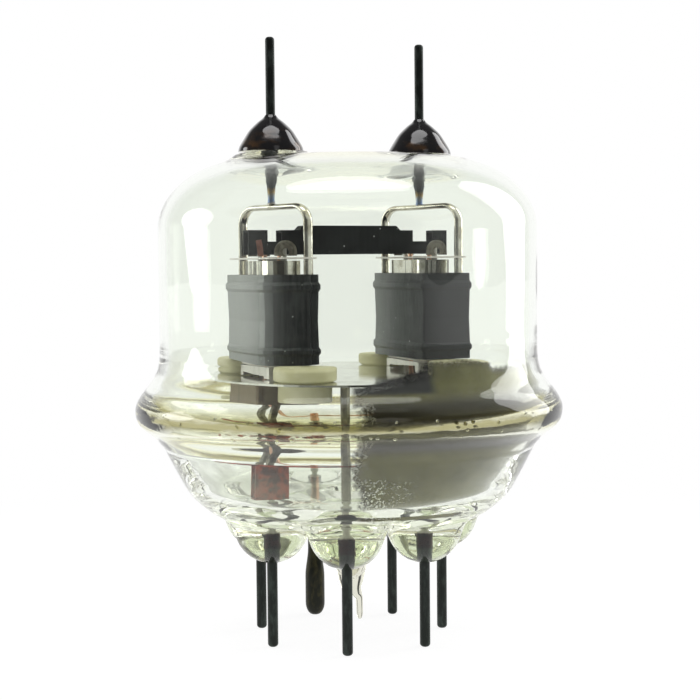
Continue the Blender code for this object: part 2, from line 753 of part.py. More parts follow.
def anode_outline(offset):
    """The anode's section: crowned broad sides, a flat end, and a rounded end with an upright rib."""
    flat_half = ANODE_HALF_THICKNESS - ANODE_SIDE_CROWN
    radii = (ANODE_SHARP_RADIUS, ANODE_SHARP_RADIUS, ANODE_ROUND_RADIUS, ANODE_TIGHT_RADIUS)
    plain = rounded_rectangle(flat_half, ANODE_HALF_LENGTH, radii, 4)
    outline = []
    for point, following in zip(plain, plain[1:] + plain[:1]):
        parts = max(1, round((following - point).length / ANODE_STEP))
        outline += [point.lerp(following, k / parts) for k in range(parts)]
    rib = [(-1, 0.0), (-0.6, 0.8), (0, 1.0), (0.6, 0.8), (1, 0.0)]
    shaped = []
    for point in outline:
        share = point.y / ANODE_HALF_LENGTH
        crown = ANODE_SIDE_CROWN * (1 - share**2) * point.x / flat_half
        shaped.append(Vector((point.x + crown, point.y)))
    near_end = -ANODE_HALF_LENGTH
    shaped = [
        p
        for p in shaped
        if p.y > near_end + MERGE or abs(p.x - ANODE_RIB_ACROSS) > ANODE_RIB_HALF_WIDTH
    ]
    place = next(
        i for i, p in enumerate(shaped) if p.y < near_end + ANODE_TIGHT_RADIUS and p.x > ANODE_RIB_ACROSS
    )
    ridge = [
        Vector((ANODE_RIB_ACROSS + ANODE_RIB_HALF_WIDTH * across, near_end - ANODE_RIB_RISE * rise))
        for across, rise in rib
    ]
    shaped[place:place] = ridge
    moved = []
    for before, point, after in zip(shaped[-1:] + shaped, shaped, shaped[1:] + shaped[:1]):
        tangent = (after - before).normalized()
        moved.append(point + Vector((tangent.y, -tangent.x)) * offset)
    return moved


def anode_levels():
    """(height, offset) up the anode: plain ends, two beads and a slight waist."""
    levels = [(ANODE_BOTTOM, 0.0)]
    for middle in (ANODE_BOTTOM + ANODE_LOW_BEAD_INSET, ANODE_TOP - ANODE_HIGH_BEAD_INSET):
        for across, rise in ((-0.5, 0.0), (-0.2, 1.0), (0.2, 1.0), (0.5, 0.0)):
            levels.append((middle + ANODE_BEAD_WIDTH * across, ANODE_BEAD_RISE * rise))
        if middle < (ANODE_BOTTOM + ANODE_TOP) / 2:
            levels.append(((ANODE_BOTTOM + ANODE_TOP) / 2, -ANODE_WAIST))
    levels.append((ANODE_TOP, 0.0))
    return levels


def build_anode(finish):
    def build(name):
        outer = [level(anode_outline(offset), height) for height, offset in anode_levels()]
        inside = anode_outline(-ANODE_WALL)
        inner = [level(inside, ANODE_TOP), level(inside, ANODE_BOTTOM)]
        return loft(name, outer + inner, finish, closed=True)

    return build


def build_beam_box(finish):
    def build(name):
        bottom = LOWER_MICA_HEIGHT + MICA_THICKNESS + SEAT_GAP
        top = UPPER_MICA_HEIGHT - SEAT_GAP
        obj = tube(
            name,
            stadium(BEAM_HALF_WIDTH, BEAM_HALF_LENGTH),
            stadium(BEAM_HALF_WIDTH - BEAM_WALL, BEAM_HALF_LENGTH - BEAM_WALL),
            bottom,
            top,
            finish,
        )
        window = box(
            "beam_window",
            (-2 * BEAM_HALF_WIDTH, -BEAM_WINDOW_HALF_LENGTH, bottom + BEAM_WINDOW_MARGIN),
            (2 * BEAM_HALF_WIDTH, BEAM_WINDOW_HALF_LENGTH, top - BEAM_WINDOW_MARGIN),
        )
        combine(obj, helper(window), "DIFFERENCE")
        return obj

    return build


def unit_holes(with_legs):
    """Clearance holes in a mica for the cathode, the grid rods and the hoop's legs."""
    holes = [oval(CATHODE_HALF_WIDTH + SEAT_GAP, CATHODE_HALF_LENGTH + SEAT_GAP)]
    for along, radius in ((CONTROL_ROD_ALONG, CONTROL_ROD_RADIUS), (SCREEN_ROD_ALONG, SCREEN_ROD_RADIUS)):
        holes += [circle(radius + SEAT_GAP, ROD_FACETS, (0, side * along)) for side in (-1, 1)]
    if with_legs:
        bore = HOOP_WIDTH / 2 + SEAT_GAP
        for side in (-1, 1):
            holes.append(circle(bore, ROD_FACETS, (side * HOOP_LEG_ACROSS, -side * HOOP_LEG_ALONG)))
    return holes


def build_mica(finish, upper):
    def build(name):
        height = UPPER_MICA_HEIGHT if upper else LOWER_MICA_HEIGHT
        half_length = UPPER_MICA_HALF_LENGTH if upper else LOWER_MICA_HALF_LENGTH
        half_width = UPPER_MICA_HALF_WIDTH if upper else LOWER_MICA_HALF_WIDTH
        outline = rounded_rectangle(half_width, half_length, 4 * [MICA_CORNER])
        return plate(name, outline, unit_holes(upper), height, height + MICA_THICKNESS, finish)

    return build


def build_cathode(finish):
    def build(name):
        return tube(
            name,
            oval(CATHODE_HALF_WIDTH, CATHODE_HALF_LENGTH),
            oval(CATHODE_HALF_WIDTH - CATHODE_WALL, CATHODE_HALF_LENGTH - CATHODE_WALL),
            CATHODE_BOTTOM,
            CATHODE_TOP,
            finish,
        )

    return build


def build_heater(finish):
    def build(name):
        bend_height = CATHODE_TOP - HEATER_HALF_SPREAD - HEATER_DEPTH
        path = [Vector((0, -HEATER_HALF_SPREAD, HEATER_BOTTOM))]
        for i in range(9):
            turn = math.pi * i / 8
            path.append(
                Vector(
                    (
                        0,
                        -HEATER_HALF_SPREAD * math.cos(turn),
                        bend_height + HEATER_HALF_SPREAD * math.sin(turn),
                    )
                )
            )
        path.append(Vector((0, HEATER_HALF_SPREAD, HEATER_BOTTOM)))
        return wire(name, path, HEATER_RADIUS, finish)

    return build


def build_grid(finish, rod_along, rod_radius, half_width):
    """Two side rods with wire turns round them, as one welded grid."""

    def build(name):
        turns = bmesh.new()
        low = ANODE_BOTTOM + GRID_END_MARGIN
        high = ANODE_TOP - GRID_END_MARGIN
        for turn in range(GRID_TURNS):
            height = low + (high - low) * turn / (GRID_TURNS - 1)
            add_body(turns, ring_mesh(half_width, rod_along, height))
        obj = finish_object(name, turns, finish)
        rods = bmesh.new()
        for side in (-1, 1):
            profile = [
                (0, GRID_ROD_BOTTOM),
                (rod_radius, GRID_ROD_BOTTOM),
                (rod_radius, GRID_ROD_TOP),
                (0, GRID_ROD_TOP),
            ]
            add_body(rods, lathe_mesh(profile, ROD_FACETS, (0, side * rod_along)))
        combine(obj, helper(finish_object(f"{name}_rods", rods, None)), "UNION")
        return obj

    return build


def ring_mesh(half_width, half_length, height, around=10, sides=4):
    """One oval turn of fine wire."""
    bm = bmesh.new()
    rings = []
    for i in range(around):
        angle = math.tau * (i + 0.5) / around
        outward = Vector((math.cos(angle), math.sin(angle), 0))
        middle = Vector((half_width * outward.x, half_length * outward.y, height))
        rings.append(
            [
                bm.verts.new(
                    middle
                    + outward * (GRID_WIRE_RADIUS * math.cos(math.tau * k / sides))
                    + Vector((0, 0, GRID_WIRE_RADIUS * math.sin(math.tau * k / sides)))
                )
                for k in range(sides)
            ]
        )
    for i, ring in enumerate(rings):
        following = rings[(i + 1) % around]
        for k in range(sides):
            bm.faces.new((ring[k], ring[(k + 1) % sides], following[(k + 1) % sides], following[k]))
    bmesh.ops.recalc_face_normals(bm, faces=bm.faces)
    return bm


def build_clip(finish, end):
    """An upright lug with a round head and a hole, welded to a screen grid rod."""

    def build(name):
        foot = UPPER_MICA_HEIGHT + MICA_THICKNESS + SEAT_GAP
        middle = foot + CLIP_RISE - CLIP_HALF_WIDTH
        head = circle(CLIP_HALF_WIDTH, 2 * BEAD_FACETS, (0, middle))[: BEAD_FACETS + 1]
        outline = [Vector((CLIP_HALF_WIDTH, foot)), *head]
        outline.append(Vector((-CLIP_HALF_WIDTH, foot)))
        hole = circle(CLIP_HOLE_RADIUS, PIN_FACETS, (0, middle))
        near = SCREEN_ROD_ALONG + SCREEN_ROD_RADIUS + WELD_GAP
        obj = plate(name, outline, [hole], near, near + CLIP_THICKNESS, finish)
        stand_up = Matrix(((1, 0, 0, 0), (0, 0, end, 0), (0, 1, 0, 0), (0, 0, 0, 1)))
        obj.data.transform(stand_up)
        if stand_up.determinant() < 0:
            obj.data.flip_normals()
        return obj

    return build


def build_tab(finish):
    """A copper ribbon up the front of the bridge, over the left unit."""
    bottom = UPPER_MICA_HEIGHT + MICA_THICKNESS + SEAT_GAP
    face = -(BRIDGE_HALF_WIDTH + WELD_GAP)
    middle = TAB_OFFSET - UNIT_OFFSET
    low = (middle - TAB_WIDTH / 2, face - TAB_THICKNESS, bottom)
    high = (middle + TAB_WIDTH / 2, face, bottom + TAB_HEIGHT)
    box("cathode_tab", low, high, finish)


def build_foot(finish):
    """A nickel frame on four legs, between the shield disc and the lower mica."""

    def build(name):
        radii = 4 * [FOOT_CORNER]
        bottom = DISC_TOP + SEAT_GAP
        obj = tube(
            name,
            rounded_rectangle(FOOT_HALF_WIDTH, FOOT_HALF_LENGTH, radii, 2),
            rounded_rectangle(FOOT_HALF_WIDTH - FOOT_WALL, FOOT_HALF_LENGTH - FOOT_WALL, radii, 2),
            bottom,
            LOWER_MICA_HEIGHT - SEAT_GAP,
            finish,
        )
        reach = 2 * FOOT_HALF_WIDTH
        half = FOOT_HALF_LENGTH - FOOT_LEG
        arch = box("foot_arch", (-reach, -half, bottom - reach), (reach, half, bottom + FOOT_ARCH))
        combine(obj, helper(arch), "DIFFERENCE")
        return obj

    return build


def build_skirt(finish):
    """A bent sheet under the shield disc, round the slot that a unit's leads come through."""

    def build(name):
        radii = 4 * [FOOT_CORNER]
        top = DISC_TOP - DISC_THICKNESS - WELD_GAP
        return tube(
            name,
            rounded_rectangle(SKIRT_HALF_WIDTH, SKIRT_HALF_LENGTH, radii, 2),
            rounded_rectangle(SKIRT_HALF_WIDTH - FOOT_WALL, SKIRT_HALF_LENGTH - FOOT_WALL, radii, 2),
            top - SKIRT_HEIGHT,
            top,
            finish,
        )

    return build


# Bridge, disc and bushings


def bridge_outline(inset, past_ends):
    """The bridge seen from the front: a raised middle, lower ends and a notch over each unit."""
    bottom = BRIDGE_BOTTOM - past_ends
    top = BRIDGE_TOP - inset
    end_top = BRIDGE_TOP - BRIDGE_END_DROP - inset
    end = BRIDGE_HALF_LENGTH + past_ends
    raised = BRIDGE_RAISED_HALF_LENGTH - inset
    halves = []
    for side, notch in ((1, BRIDGE_RIGHT_NOTCH), (-1, BRIDGE_LEFT_NOTCH)):
        half = [(end, bottom), (end, end_top)]
        if not inset:
            near, far = UNIT_OFFSET - notch / 2, UNIT_OFFSET + notch / 2
            floor = end_top - BRIDGE_NOTCH_DEPTH
            half += [(far, end_top), (far, floor), (near, floor), (near, end_top)]
        half += [(raised, end_top), (raised - BRIDGE_END_DROP, top)]
        halves.append([Vector((side * x, z)) for x, z in half])
    return halves[0] + halves[1][::-1]


def extrude_along_y(name, outline, half_width, finish):
    rings = [[Vector((point.x, y, point.y)) for point in outline] for y in (-half_width, half_width)]
    return loft(name, rings, finish, smooth=False)


def build_bridge(finish):
    bridge = extrude_along_y("bridge_shield", bridge_outline(0, 0), BRIDGE_HALF_WIDTH, finish)
    hollow = bridge_outline(BRIDGE_WALL, BRIDGE_WALL)
    cutter = extrude_along_y("bridge_hollow", hollow, BRIDGE_HALF_WIDTH - BRIDGE_WALL, None)
    combine(bridge, helper(cutter), "DIFFERENCE")
    return bridge


def bushing_places():
    return [
        (
            f"ceramic_bushing_{end}_{label}",
            Vector((side * UNIT_OFFSET - along * BUSHING_SKEW, along * BUSHING_ALONG)),
        )
        for side, label in ((-1, "left"), (1, "right"))
        for along, end in ((-1, "front"), (1, "rear"))
    ]


def disc_rim(angle, places):
    """How far the disc reaches at an angle: its own radius, or further where an ear sticks out."""
    reach = DISC_RADIUS
    for place in places:
        turn = angle - math.atan2(place.y, place.x)
        aside = place.length * math.sin(turn)
        if math.cos(turn) > 0 and abs(aside) < DISC_EAR_RADIUS:
            reach = max(reach, place.length * math.cos(turn) + math.sqrt(DISC_EAR_RADIUS**2 - aside**2))
    return reach


def build_disc(finish):
    """A sheet with an ear round each bushing, and a slot under each unit."""
    places = [place for _, place in bushing_places()]
    outline = []
    for i in range(DISC_POINTS):
        angle = math.tau * i / DISC_POINTS
        outline.append(Vector((math.cos(angle), math.sin(angle))) * disc_rim(angle, places))
    holes = [circle(BUSHING_BODY_RADIUS + SEAT_GAP, CAP_FACETS, place) for place in places]
    for side in (-1, 1):
        slot = stadium(DISC_SLOT_HALF_WIDTH, DISC_SLOT_HALF_LENGTH)
        holes.append([point + Vector((side * UNIT_OFFSET, 0)) for point in slot])
    plate("shield_disc", outline, holes, DISC_TOP - DISC_THICKNESS, DISC_TOP, finish)


def build_bushings(finish):
    seat = DISC_TOP + SEAT_GAP
    edge = BUSHING_EDGE
    for name, place in bushing_places():
        profile = [
            (BUSHING_BORE_RADIUS, seat - BUSHING_BODY),
            (BUSHING_BODY_RADIUS - edge, seat - BUSHING_BODY),
            (BUSHING_BODY_RADIUS, seat - BUSHING_BODY + edge),
            (BUSHING_BODY_RADIUS, seat),
            (BUSHING_FLANGE_RADIUS, seat),
            (BUSHING_FLANGE_RADIUS, seat + BUSHING_FLANGE - edge),
            (BUSHING_FLANGE_RADIUS - edge, seat + BUSHING_FLANGE),
            (BUSHING_BORE_RADIUS, seat + BUSHING_FLANGE),
        ]
        lathe(name, profile, finish, CAP_FACETS, place, closed=True)


# Leads, bypass capacitor and getter


def lead_start(number):
    place = pin_place(number)
    return Vector((place.x, place.y, PIN_TOP + WELD_GAP))


def upright_lead(number, top, finish):
    start = lead_start(number)
    wire(f"lead_{number}", [start, Vector((start.x, start.y, top))], LEAD_RADIUS, finish)


def bent_lead(number, end, finish):
    """A lead that rises from its pin, leans over and ends upright under its electrode."""
    start = lead_start(number)
    bends = [
        start.lerp(Vector((start.x, start.y, end.z)), 0.5),
        end - Vector((0, 0, LEAD_STRAIGHT)),
    ]
    wire(f"lead_{number}", smooth_curve([start, *bends, end], 3), LEAD_RADIUS, finish, ROD_FACETS)


def build_leads(nickel, copper):
    rod_end = GRID_ROD_BOTTOM - WELD_GAP
    heater_end = HEATER_BOTTOM - WELD_GAP
    lug_bottom = DISC_TOP - DISC_THICKNESS - SEAT_GAP - LUG_THICKNESS
    bent_lead(1, Vector((-UNIT_OFFSET, CONTROL_ROD_ALONG, rod_end)), nickel)
    bent_lead(2, Vector((-UNIT_OFFSET, -HEATER_HALF_SPREAD, heater_end)), nickel)
    upright_lead(3, lug_bottom - WELD_GAP, nickel)
    bent_lead(4, Vector((UNIT_OFFSET, -SCREEN_ROD_ALONG, rod_end)), nickel)
    bent_lead(5, Vector((UNIT_OFFSET, -HEATER_HALF_SPREAD, heater_end)), nickel)
    bent_lead(6, Vector((UNIT_OFFSET, CONTROL_ROD_ALONG, rod_end)), nickel)
    upright_lead(0, LINK_HEIGHT, copper)


def build_lug(nickel):
    """A small bright strip under the disc, welded to the top of the front left lead."""
    place = pin_place(3)
    top = DISC_TOP - DISC_THICKNESS - SEAT_GAP
    low = (place.x - LUG_HALF_LENGTH, place.y - LEAD_RADIUS, top - LUG_THICKNESS)
    high = (place.x + LUG_HALF_LENGTH, place.y + LEAD_RADIUS, top)
    box("shield_lug", low, high, nickel)


def build_links(copper):
    """Wires inside the bowl: one joins both heaters to the index pin, one runs round the front."""
    start = pin_place(0)
    y = start.y - LEAD_RADIUS - WELD_GAP - LINK_RADIUS
    low = LINK_HEIGHT - 2 * LINK_RADIUS
    half = [
        Vector((UNIT_OFFSET, HEATER_HALF_SPREAD, HEATER_BOTTOM - WELD_GAP)),
        Vector((UNIT_OFFSET, HEATER_HALF_SPREAD, HEATER_BOTTOM - 3 * MM)),
        Vector((UNIT_OFFSET * 0.75, y / 3, LINK_HEIGHT + 1.5 * MM)),
        Vector((UNIT_OFFSET * 0.45, y * 0.75, low)),
    ]
    path = [Vector((-point.x, point.y, point.z)) for point in half] + [Vector((0, y, low))] + half[::-1]
    wire("heater_link", smooth_curve(path, 3), LINK_RADIUS, copper)
    near = pin_place(3)
    reach = near.length + LEAD_RADIUS + WELD_GAP + LINK_RADIUS
    front = []
    for angle, out in ((20, 0), (40, 2.0), (62, 3.8), (80, 4.4), (93, 4.6)):
        turn = -math.radians(angle)
        front.append(
            Vector(((reach + out * MM) * math.sin(turn), -(reach + out * MM) * math.cos(turn), LINK_HEIGHT))
        )
    wire("front_link", smooth_curve(front, 3), LINK_RADIUS, copper)


def build_capacitor(copper, mica):
    """A mica block held in a folded copper clip, beside the left front lead."""
    place = pin_place(2) + Vector((CAPACITOR_SHIFT, 0))
    low = CAPACITOR_BOTTOM
    high = low + CAPACITOR_HEIGHT
    inner = place.y - LEAD_RADIUS - WELD_GAP
    outer = inner - 2 * CAPACITOR_PLATE - 2 * WELD_GAP - CAPACITOR_THICKNESS
    section = [
        (inner, low),
        (inner, high),
        (inner - CAPACITOR_PLATE, high),
        (inner - CAPACITOR_PLATE, low + CAPACITOR_PLATE),
        (outer + CAPACITOR_PLATE, low + CAPACITOR_PLATE),
        (outer + CAPACITOR_PLATE, high),
        (outer, high),
        (outer, low),
    ]
    half = CAPACITOR_WIDTH / 2
    rings = [[Vector((place.x + side * half, y, z)) for y, z in section] for side in (-1, 1)]
    loft("capacitor_clip", rings, copper, smooth=False)
    margin = WELD_GAP + CAPACITOR_PLATE
    box(
        "capacitor_mica",
        (place.x - half + margin, outer + margin, low + margin),
        (place.x + half - margin, inner - margin, high - margin),
        mica,
    )


def build_getter(nickel):
    """A getter ring on a stalk, near the wall between two leads."""
    angle = math.radians(GETTER_ANGLE)
    outward = Vector((math.sin(angle), -math.cos(angle), 0))
    up = Vector((0, 0, 1))
    centre = outward * (GETTER_RIM_DISTANCE - GETTER_RADIUS) + up * GETTER_HEIGHT
    across = outward.cross(up)
    around = 14
    rings = []
    for i in range(around):
        turn = math.tau * i / around
        spoke = across * math.cos(turn) + up * math.sin(turn)
        section = circle(GETTER_WIRE_RADIUS, WIRE_FACETS)
        rings.append([centre + spoke * (GETTER_RADIUS + point.x) + outward * point.y for point in section])
    ring = loft("getter", rings, nickel, closed=True)
    foot = lead_start(4) + outward * (LEAD_RADIUS + LINK_RADIUS + WELD_GAP)
    top = centre - up * GETTER_RADIUS
    path = smooth_curve([foot, foot.lerp(Vector((foot.x, foot.y, top.z)), 0.5), top], 3)
    combine(ring, helper(wire("getter_stalk", path, LINK_RADIUS, None)), "UNION")


def main():
    clear_scene()
    glass = Finish("clear glass", (0.93, 0.96, 0.92), 0.03, transmission=1.0)
    oxide = Finish("oxidised pin metal", (0.035, 0.042, 0.035), 0.45, 0.7)
    cap_metal = Finish("dark glazed cap", (0.02, 0.014, 0.012), 0.18, 0.4)
    nickel = Finish("bright nickel", (0.66, 0.65, 0.6), 0.25, 1.0)
    carbon = Finish("carbonised sheet", (0.06, 0.065, 0.068), 0.55, 0.3)
    black = Finish("black shield", (0.02, 0.02, 0.022), 0.5, 0.2)
    mica = Finish("mica", (0.62, 0.6, 0.52), 0.3)
    ceramic = Finish("cream ceramic", (0.86, 0.82, 0.66), 0.55)
    copper = Finish("copper", (0.6, 0.27, 0.17), 0.35, 1.0)
    cathode_coat = Finish("cathode coating", (0.85, 0.84, 0.8), 0.8)
    heater_coat = Finish("heater coating", (0.9, 0.9, 0.88), 0.85)

    build_bulb(glass)
    build_base(glass)
    build_pins(oxide)
    build_terminals(oxide, cap_metal, nickel)
    pair(build_anode(carbon), "anode")
    pair(build_beam_box(nickel), "beam_plates")
    pair(build_mica(mica, True), "upper_mica")
    pair(build_mica(mica, False), "lower_mica")
    pair(build_cathode(cathode_coat), "cathode")
    pair(build_heater(heater_coat), "heater")
    pair(build_grid(copper, CONTROL_ROD_ALONG, CONTROL_ROD_RADIUS, CONTROL_GRID_HALF_WIDTH), "control_grid")
    pair(build_grid(nickel, SCREEN_ROD_ALONG, SCREEN_ROD_RADIUS, SCREEN_GRID_HALF_WIDTH), "screen_grid")
    pair(build_clip(nickel, -1), "grid_lug_a")
    pair(build_clip(nickel, 1), "grid_lug_b")
    pair(build_foot(nickel), "unit_foot")
    pair(build_skirt(nickel), "unit_skirt")
    build_bridge(black)
    build_tab(copper)
    build_disc(nickel)
    build_bushings(ceramic)
    build_leads(nickel, copper)
    build_lug(nickel)
    build_links(copper)
    build_capacitor(copper, mica)
    build_getter(nickel)


main()
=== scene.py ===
"""Looks of the twin power tube: smooth blown glass, worked metal and a white photo studio.

Every length is in metres in the row's own frame. The tube stands on its pins at height 0, the two anode
pins lie along X and the thick index pin is on +Y. The camera stands a little to the left of -Y.
"""

from __future__ import annotations

import logging
import math
from collections.abc import Callable, Iterable, Sequence
from dataclasses import dataclass
from enum import Enum

import bmesh
import bpy
import numpy as np
from mathutils import Matrix, Vector
from mathutils.geometry import delaunay_2d_cdt

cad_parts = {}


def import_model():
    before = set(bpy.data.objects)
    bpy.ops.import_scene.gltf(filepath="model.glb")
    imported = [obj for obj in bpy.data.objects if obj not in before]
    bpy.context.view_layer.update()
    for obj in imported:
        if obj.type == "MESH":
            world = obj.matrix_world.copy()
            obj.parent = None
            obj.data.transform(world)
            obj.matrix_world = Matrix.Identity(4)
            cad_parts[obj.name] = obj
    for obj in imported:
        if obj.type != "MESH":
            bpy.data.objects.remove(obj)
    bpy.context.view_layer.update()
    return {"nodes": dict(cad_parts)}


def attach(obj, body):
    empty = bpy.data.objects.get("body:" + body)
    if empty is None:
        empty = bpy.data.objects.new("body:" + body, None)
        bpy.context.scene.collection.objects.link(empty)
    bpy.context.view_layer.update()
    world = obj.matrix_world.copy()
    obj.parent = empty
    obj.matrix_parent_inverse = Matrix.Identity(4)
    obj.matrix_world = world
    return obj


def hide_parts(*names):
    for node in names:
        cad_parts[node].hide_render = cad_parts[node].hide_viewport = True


LOG = logging.getLogger("tube")
MM = 0.001
MERGE = 2e-6
SMALLEST = 1e-7
ROOT = "root"
PHOTO_TURN = math.radians(-23.7)
GLASS_BOUNCES = 28
PIN_CIRCLE = 12.7 * MM
UNIT_OFFSET = 10.8 * MM
EVEN = (1.0, 1.0, 1.0)

Triple = tuple[float, float, float]
Colour = Triple
Row = tuple[float, ...]
Rows = tuple[Row, ...]
Pair = tuple[float, float]
Profile = list[Pair]
Height = Callable[[np.ndarray, np.ndarray], np.ndarray]


class Side(Enum):
    """Which of the two electrode units a piece belongs to."""

    LEFT = -1
    RIGHT = 1

    @property
    def label(self) -> str:
        """The word that ends the names of this side's pieces."""
        return self.name.lower()


class Caps(Enum):
    """Which end rings of a mesh of loops are filled."""

    NONE = 0
    LAST = 1
    BOTH = 2


# Shader arithmetic


@dataclass(frozen=True)
class Signal:
    """A socket's output that takes part in Python arithmetic."""

    graph: Graph
    socket: bpy.types.NodeSocket

    def __add__(self, other: Signal | float) -> Signal:
        """The sum of two values."""
        return self.graph.math("ADD", self, other)

    def __sub__(self, other: Signal | float) -> Signal:
        """The difference of two values."""
        return self.graph.math("SUBTRACT", self, other)

    def __rsub__(self, other: float) -> Signal:
        """A number minus this value."""
        return self.graph.math("SUBTRACT", other, self)

    def __mul__(self, other: Signal | float) -> Signal:
        """The product of two values."""
        return self.graph.math("MULTIPLY", self, other)

    __radd__ = __add__
    __rmul__ = __mul__

    def smooth(self, low: float, high: float, least: float = 0.0) -> Signal:
        """Goes smoothly from least at low to 1 at high, where either end may be the larger number.

        Args:
            low: The value that gives least.
            high: The value that gives 1.
            least: The smallest result.

        Returns:
            The result, flat beyond both ends.
        """
        ends = (low, high, least, 1.0) if low <= high else (high, low, 1.0, least)
        inputs = {0: self, **dict(enumerate(ends, 1))}
        return self.graph.node("ShaderNodeMapRange", {"interpolation_type": "SMOOTHSTEP"}, inputs)


class Graph:
    """The node tree of a material or of the world, built from expressions."""

    def __init__(self, owner: bpy.types.Material | bpy.types.World) -> None:
        """Starts the tree.

        Args:
            owner: The material or world that the nodes belong to.
        """
        owner.use_nodes = True
        self.owner = owner
        self.tree = owner.node_tree

    def feed(self, socket: bpy.types.NodeSocket, value: Signal | float | Sequence[float]) -> None:
        """Links a signal to a socket, or sets a plain value on it.

        Args:
            socket: The input that takes the value.
            value: A signal, a number, or three numbers for a colour or vector.
        """
        if isinstance(value, Signal):
            self.tree.links.new(value.socket, socket)
        elif socket.type == "RGBA":
            socket.default_value = (*value, 1.0)
        else:
            socket.default_value = value

    def node(
        self, kind: str, settings: dict | None = None, inputs: dict | None = None, output: str | int = 0
    ) -> Signal:
        """Makes any node.

        Args:
            kind: The node's type.
            settings: Its own settings. "stops" holds a ramp's (place, colour) pairs.
            inputs: Values or signals by socket name or number.
            output: Name or number of the output that is returned.

        Returns:
            The chosen output.
        """
        made = self.tree.nodes.new(kind)
        for key, value in (settings or {}).items():
            if key == "stops":
                ramp = made.color_ramp.elements
                for element, (place, colour) in ((ramp[0], value[0]), (ramp[1], value[-1])):
                    element.position = place
                    element.color = (*colour, 1.0)
                for place, colour in value[1:-1]:
                    ramp.new(place).color = (*colour, 1.0)
            else:
                setattr(made, key, value)
        for key, value in (inputs or {}).items():
            self.feed(made.inputs[key], value)
        return Signal(self, made.outputs[output])

    def math(self, operation: str, *values: Signal | float) -> Signal:
        """A Math node on one to three values."""
        return self.node("ShaderNodeMath", {"operation": operation}, dict(enumerate(values)))

    def vector(self, operation: str, output: str, *values: Signal | Sequence[float]) -> Signal:
        """A Vector Math node on one or two vectors."""
        return self.node("ShaderNodeVectorMath", {"operation": operation}, dict(enumerate(values)), output)

    def mix(self, factor: Signal | float, low: Signal | Colour, high: Signal | Colour) -> Signal:
        """A colour between two others."""
        return self.node("ShaderNodeMix", {"data_type": "RGBA"}, {0: factor, 6: low, 7: high}, 2)

    def place(self, stretch: Sequence[float] = EVEN) -> Signal:
        """The place on the piece in millimetres, stretched along each axis."""
        spot = self.node("ShaderNodeTexCoord", output="Object")
        return self.vector("MULTIPLY", "Vector", spot, [1.0 / MM * part for part in stretch])

    def part(self, vector: Signal, axis: str) -> Signal:
        """One component of a vector."""
        return self.node("ShaderNodeSeparateXYZ", None, {0: vector}, axis)

    def height(self) -> Signal:
        """Height above the pins' tips in millimetres."""
        return self.part(self.place(), "Z")

    def noise(
        self, scale: float, detail: float = 3.0, roughness: float = 0.5, stretch: Sequence[float] = EVEN
    ) -> Signal:
        """Cloudy noise from 0 to 1.

        Args:
            scale: One over the size of its features in millimetres.
            detail: How many finer layers lie on them.
            roughness: How strong the finer layers are.
            stretch: Factors on the place along each axis.

        Returns:
            The noise.
        """
        inputs = {"Vector": self.place(stretch), "Scale": scale, "Detail": detail, "Roughness": roughness}
        return self.node("ShaderNodeTexNoise", None, inputs)

    def specks(self, scale: float, size: float) -> Signal:
        """Small dots: 1 inside a dot and 0 elsewhere."""
        cell = self.node("ShaderNodeTexVoronoi", None, {"Vector": self.place(), "Scale": scale})
        return cell.smooth(size, size * 0.5)

    def bump(self, height: Signal, strength: float, depth: float) -> Signal:
        """A surface relief whose depth is in millimetres."""
        inputs = {"Height": height, "Strength": strength, "Distance": depth * MM}
        return self.node("ShaderNodeBump", None, inputs)

    def ray(self, kind: str) -> Signal:
        """One of the Light Path's outputs."""
        return self.node("ShaderNodeLightPath", output=kind)

    def glow(self, strength: Signal | float) -> Signal:
        """A shader of plain white light."""
        world = isinstance(self.owner, bpy.types.World)
        kind = "ShaderNodeBackground" if world else "ShaderNodeEmission"
        return self.node(kind, None, {"Color": (1.0, 1.0, 1.0), "Strength": strength})

    def blend(self, factor: Signal, low: Signal, high: Signal) -> Signal:
        """A shader between two others."""
        return self.node("ShaderNodeMixShader", None, {0: factor, 1: low, 2: high})

    def dress(self, **inputs: Signal | float | Colour) -> None:
        """Feeds the Principled shader's inputs, named in lower case with underscores."""
        sockets = self.tree.nodes["Principled BSDF"].inputs
        for key, value in inputs.items():
            self.feed(sockets[key.replace("_", " ").title().replace("Ior", "IOR")], value)

    def cover(self, shader: Signal) -> None:
        """Makes a shader the one that the surface shows."""
        output = next(node for node in self.tree.nodes if node.bl_idname.startswith("ShaderNodeOutput"))
        self.tree.links.new(shader.socket, output.inputs["Surface"])


# Finishes, whose lengths are in millimetres


@dataclass(frozen=True)
class Finish:
    """What every finish has: a material name and the record's slot."""

    name: str
    slot: str

    def material(self) -> bpy.types.Material:
        """The finish's material, made on first use."""
        known = bpy.data.materials.get(self.name)
        if known:
            return known
        graph = Graph(bpy.data.materials.new(self.name))
        self.paint(graph)
        return graph.owner

    def paint(self, graph: Graph) -> None:
        """Builds the nodes."""
        raise NotImplementedError


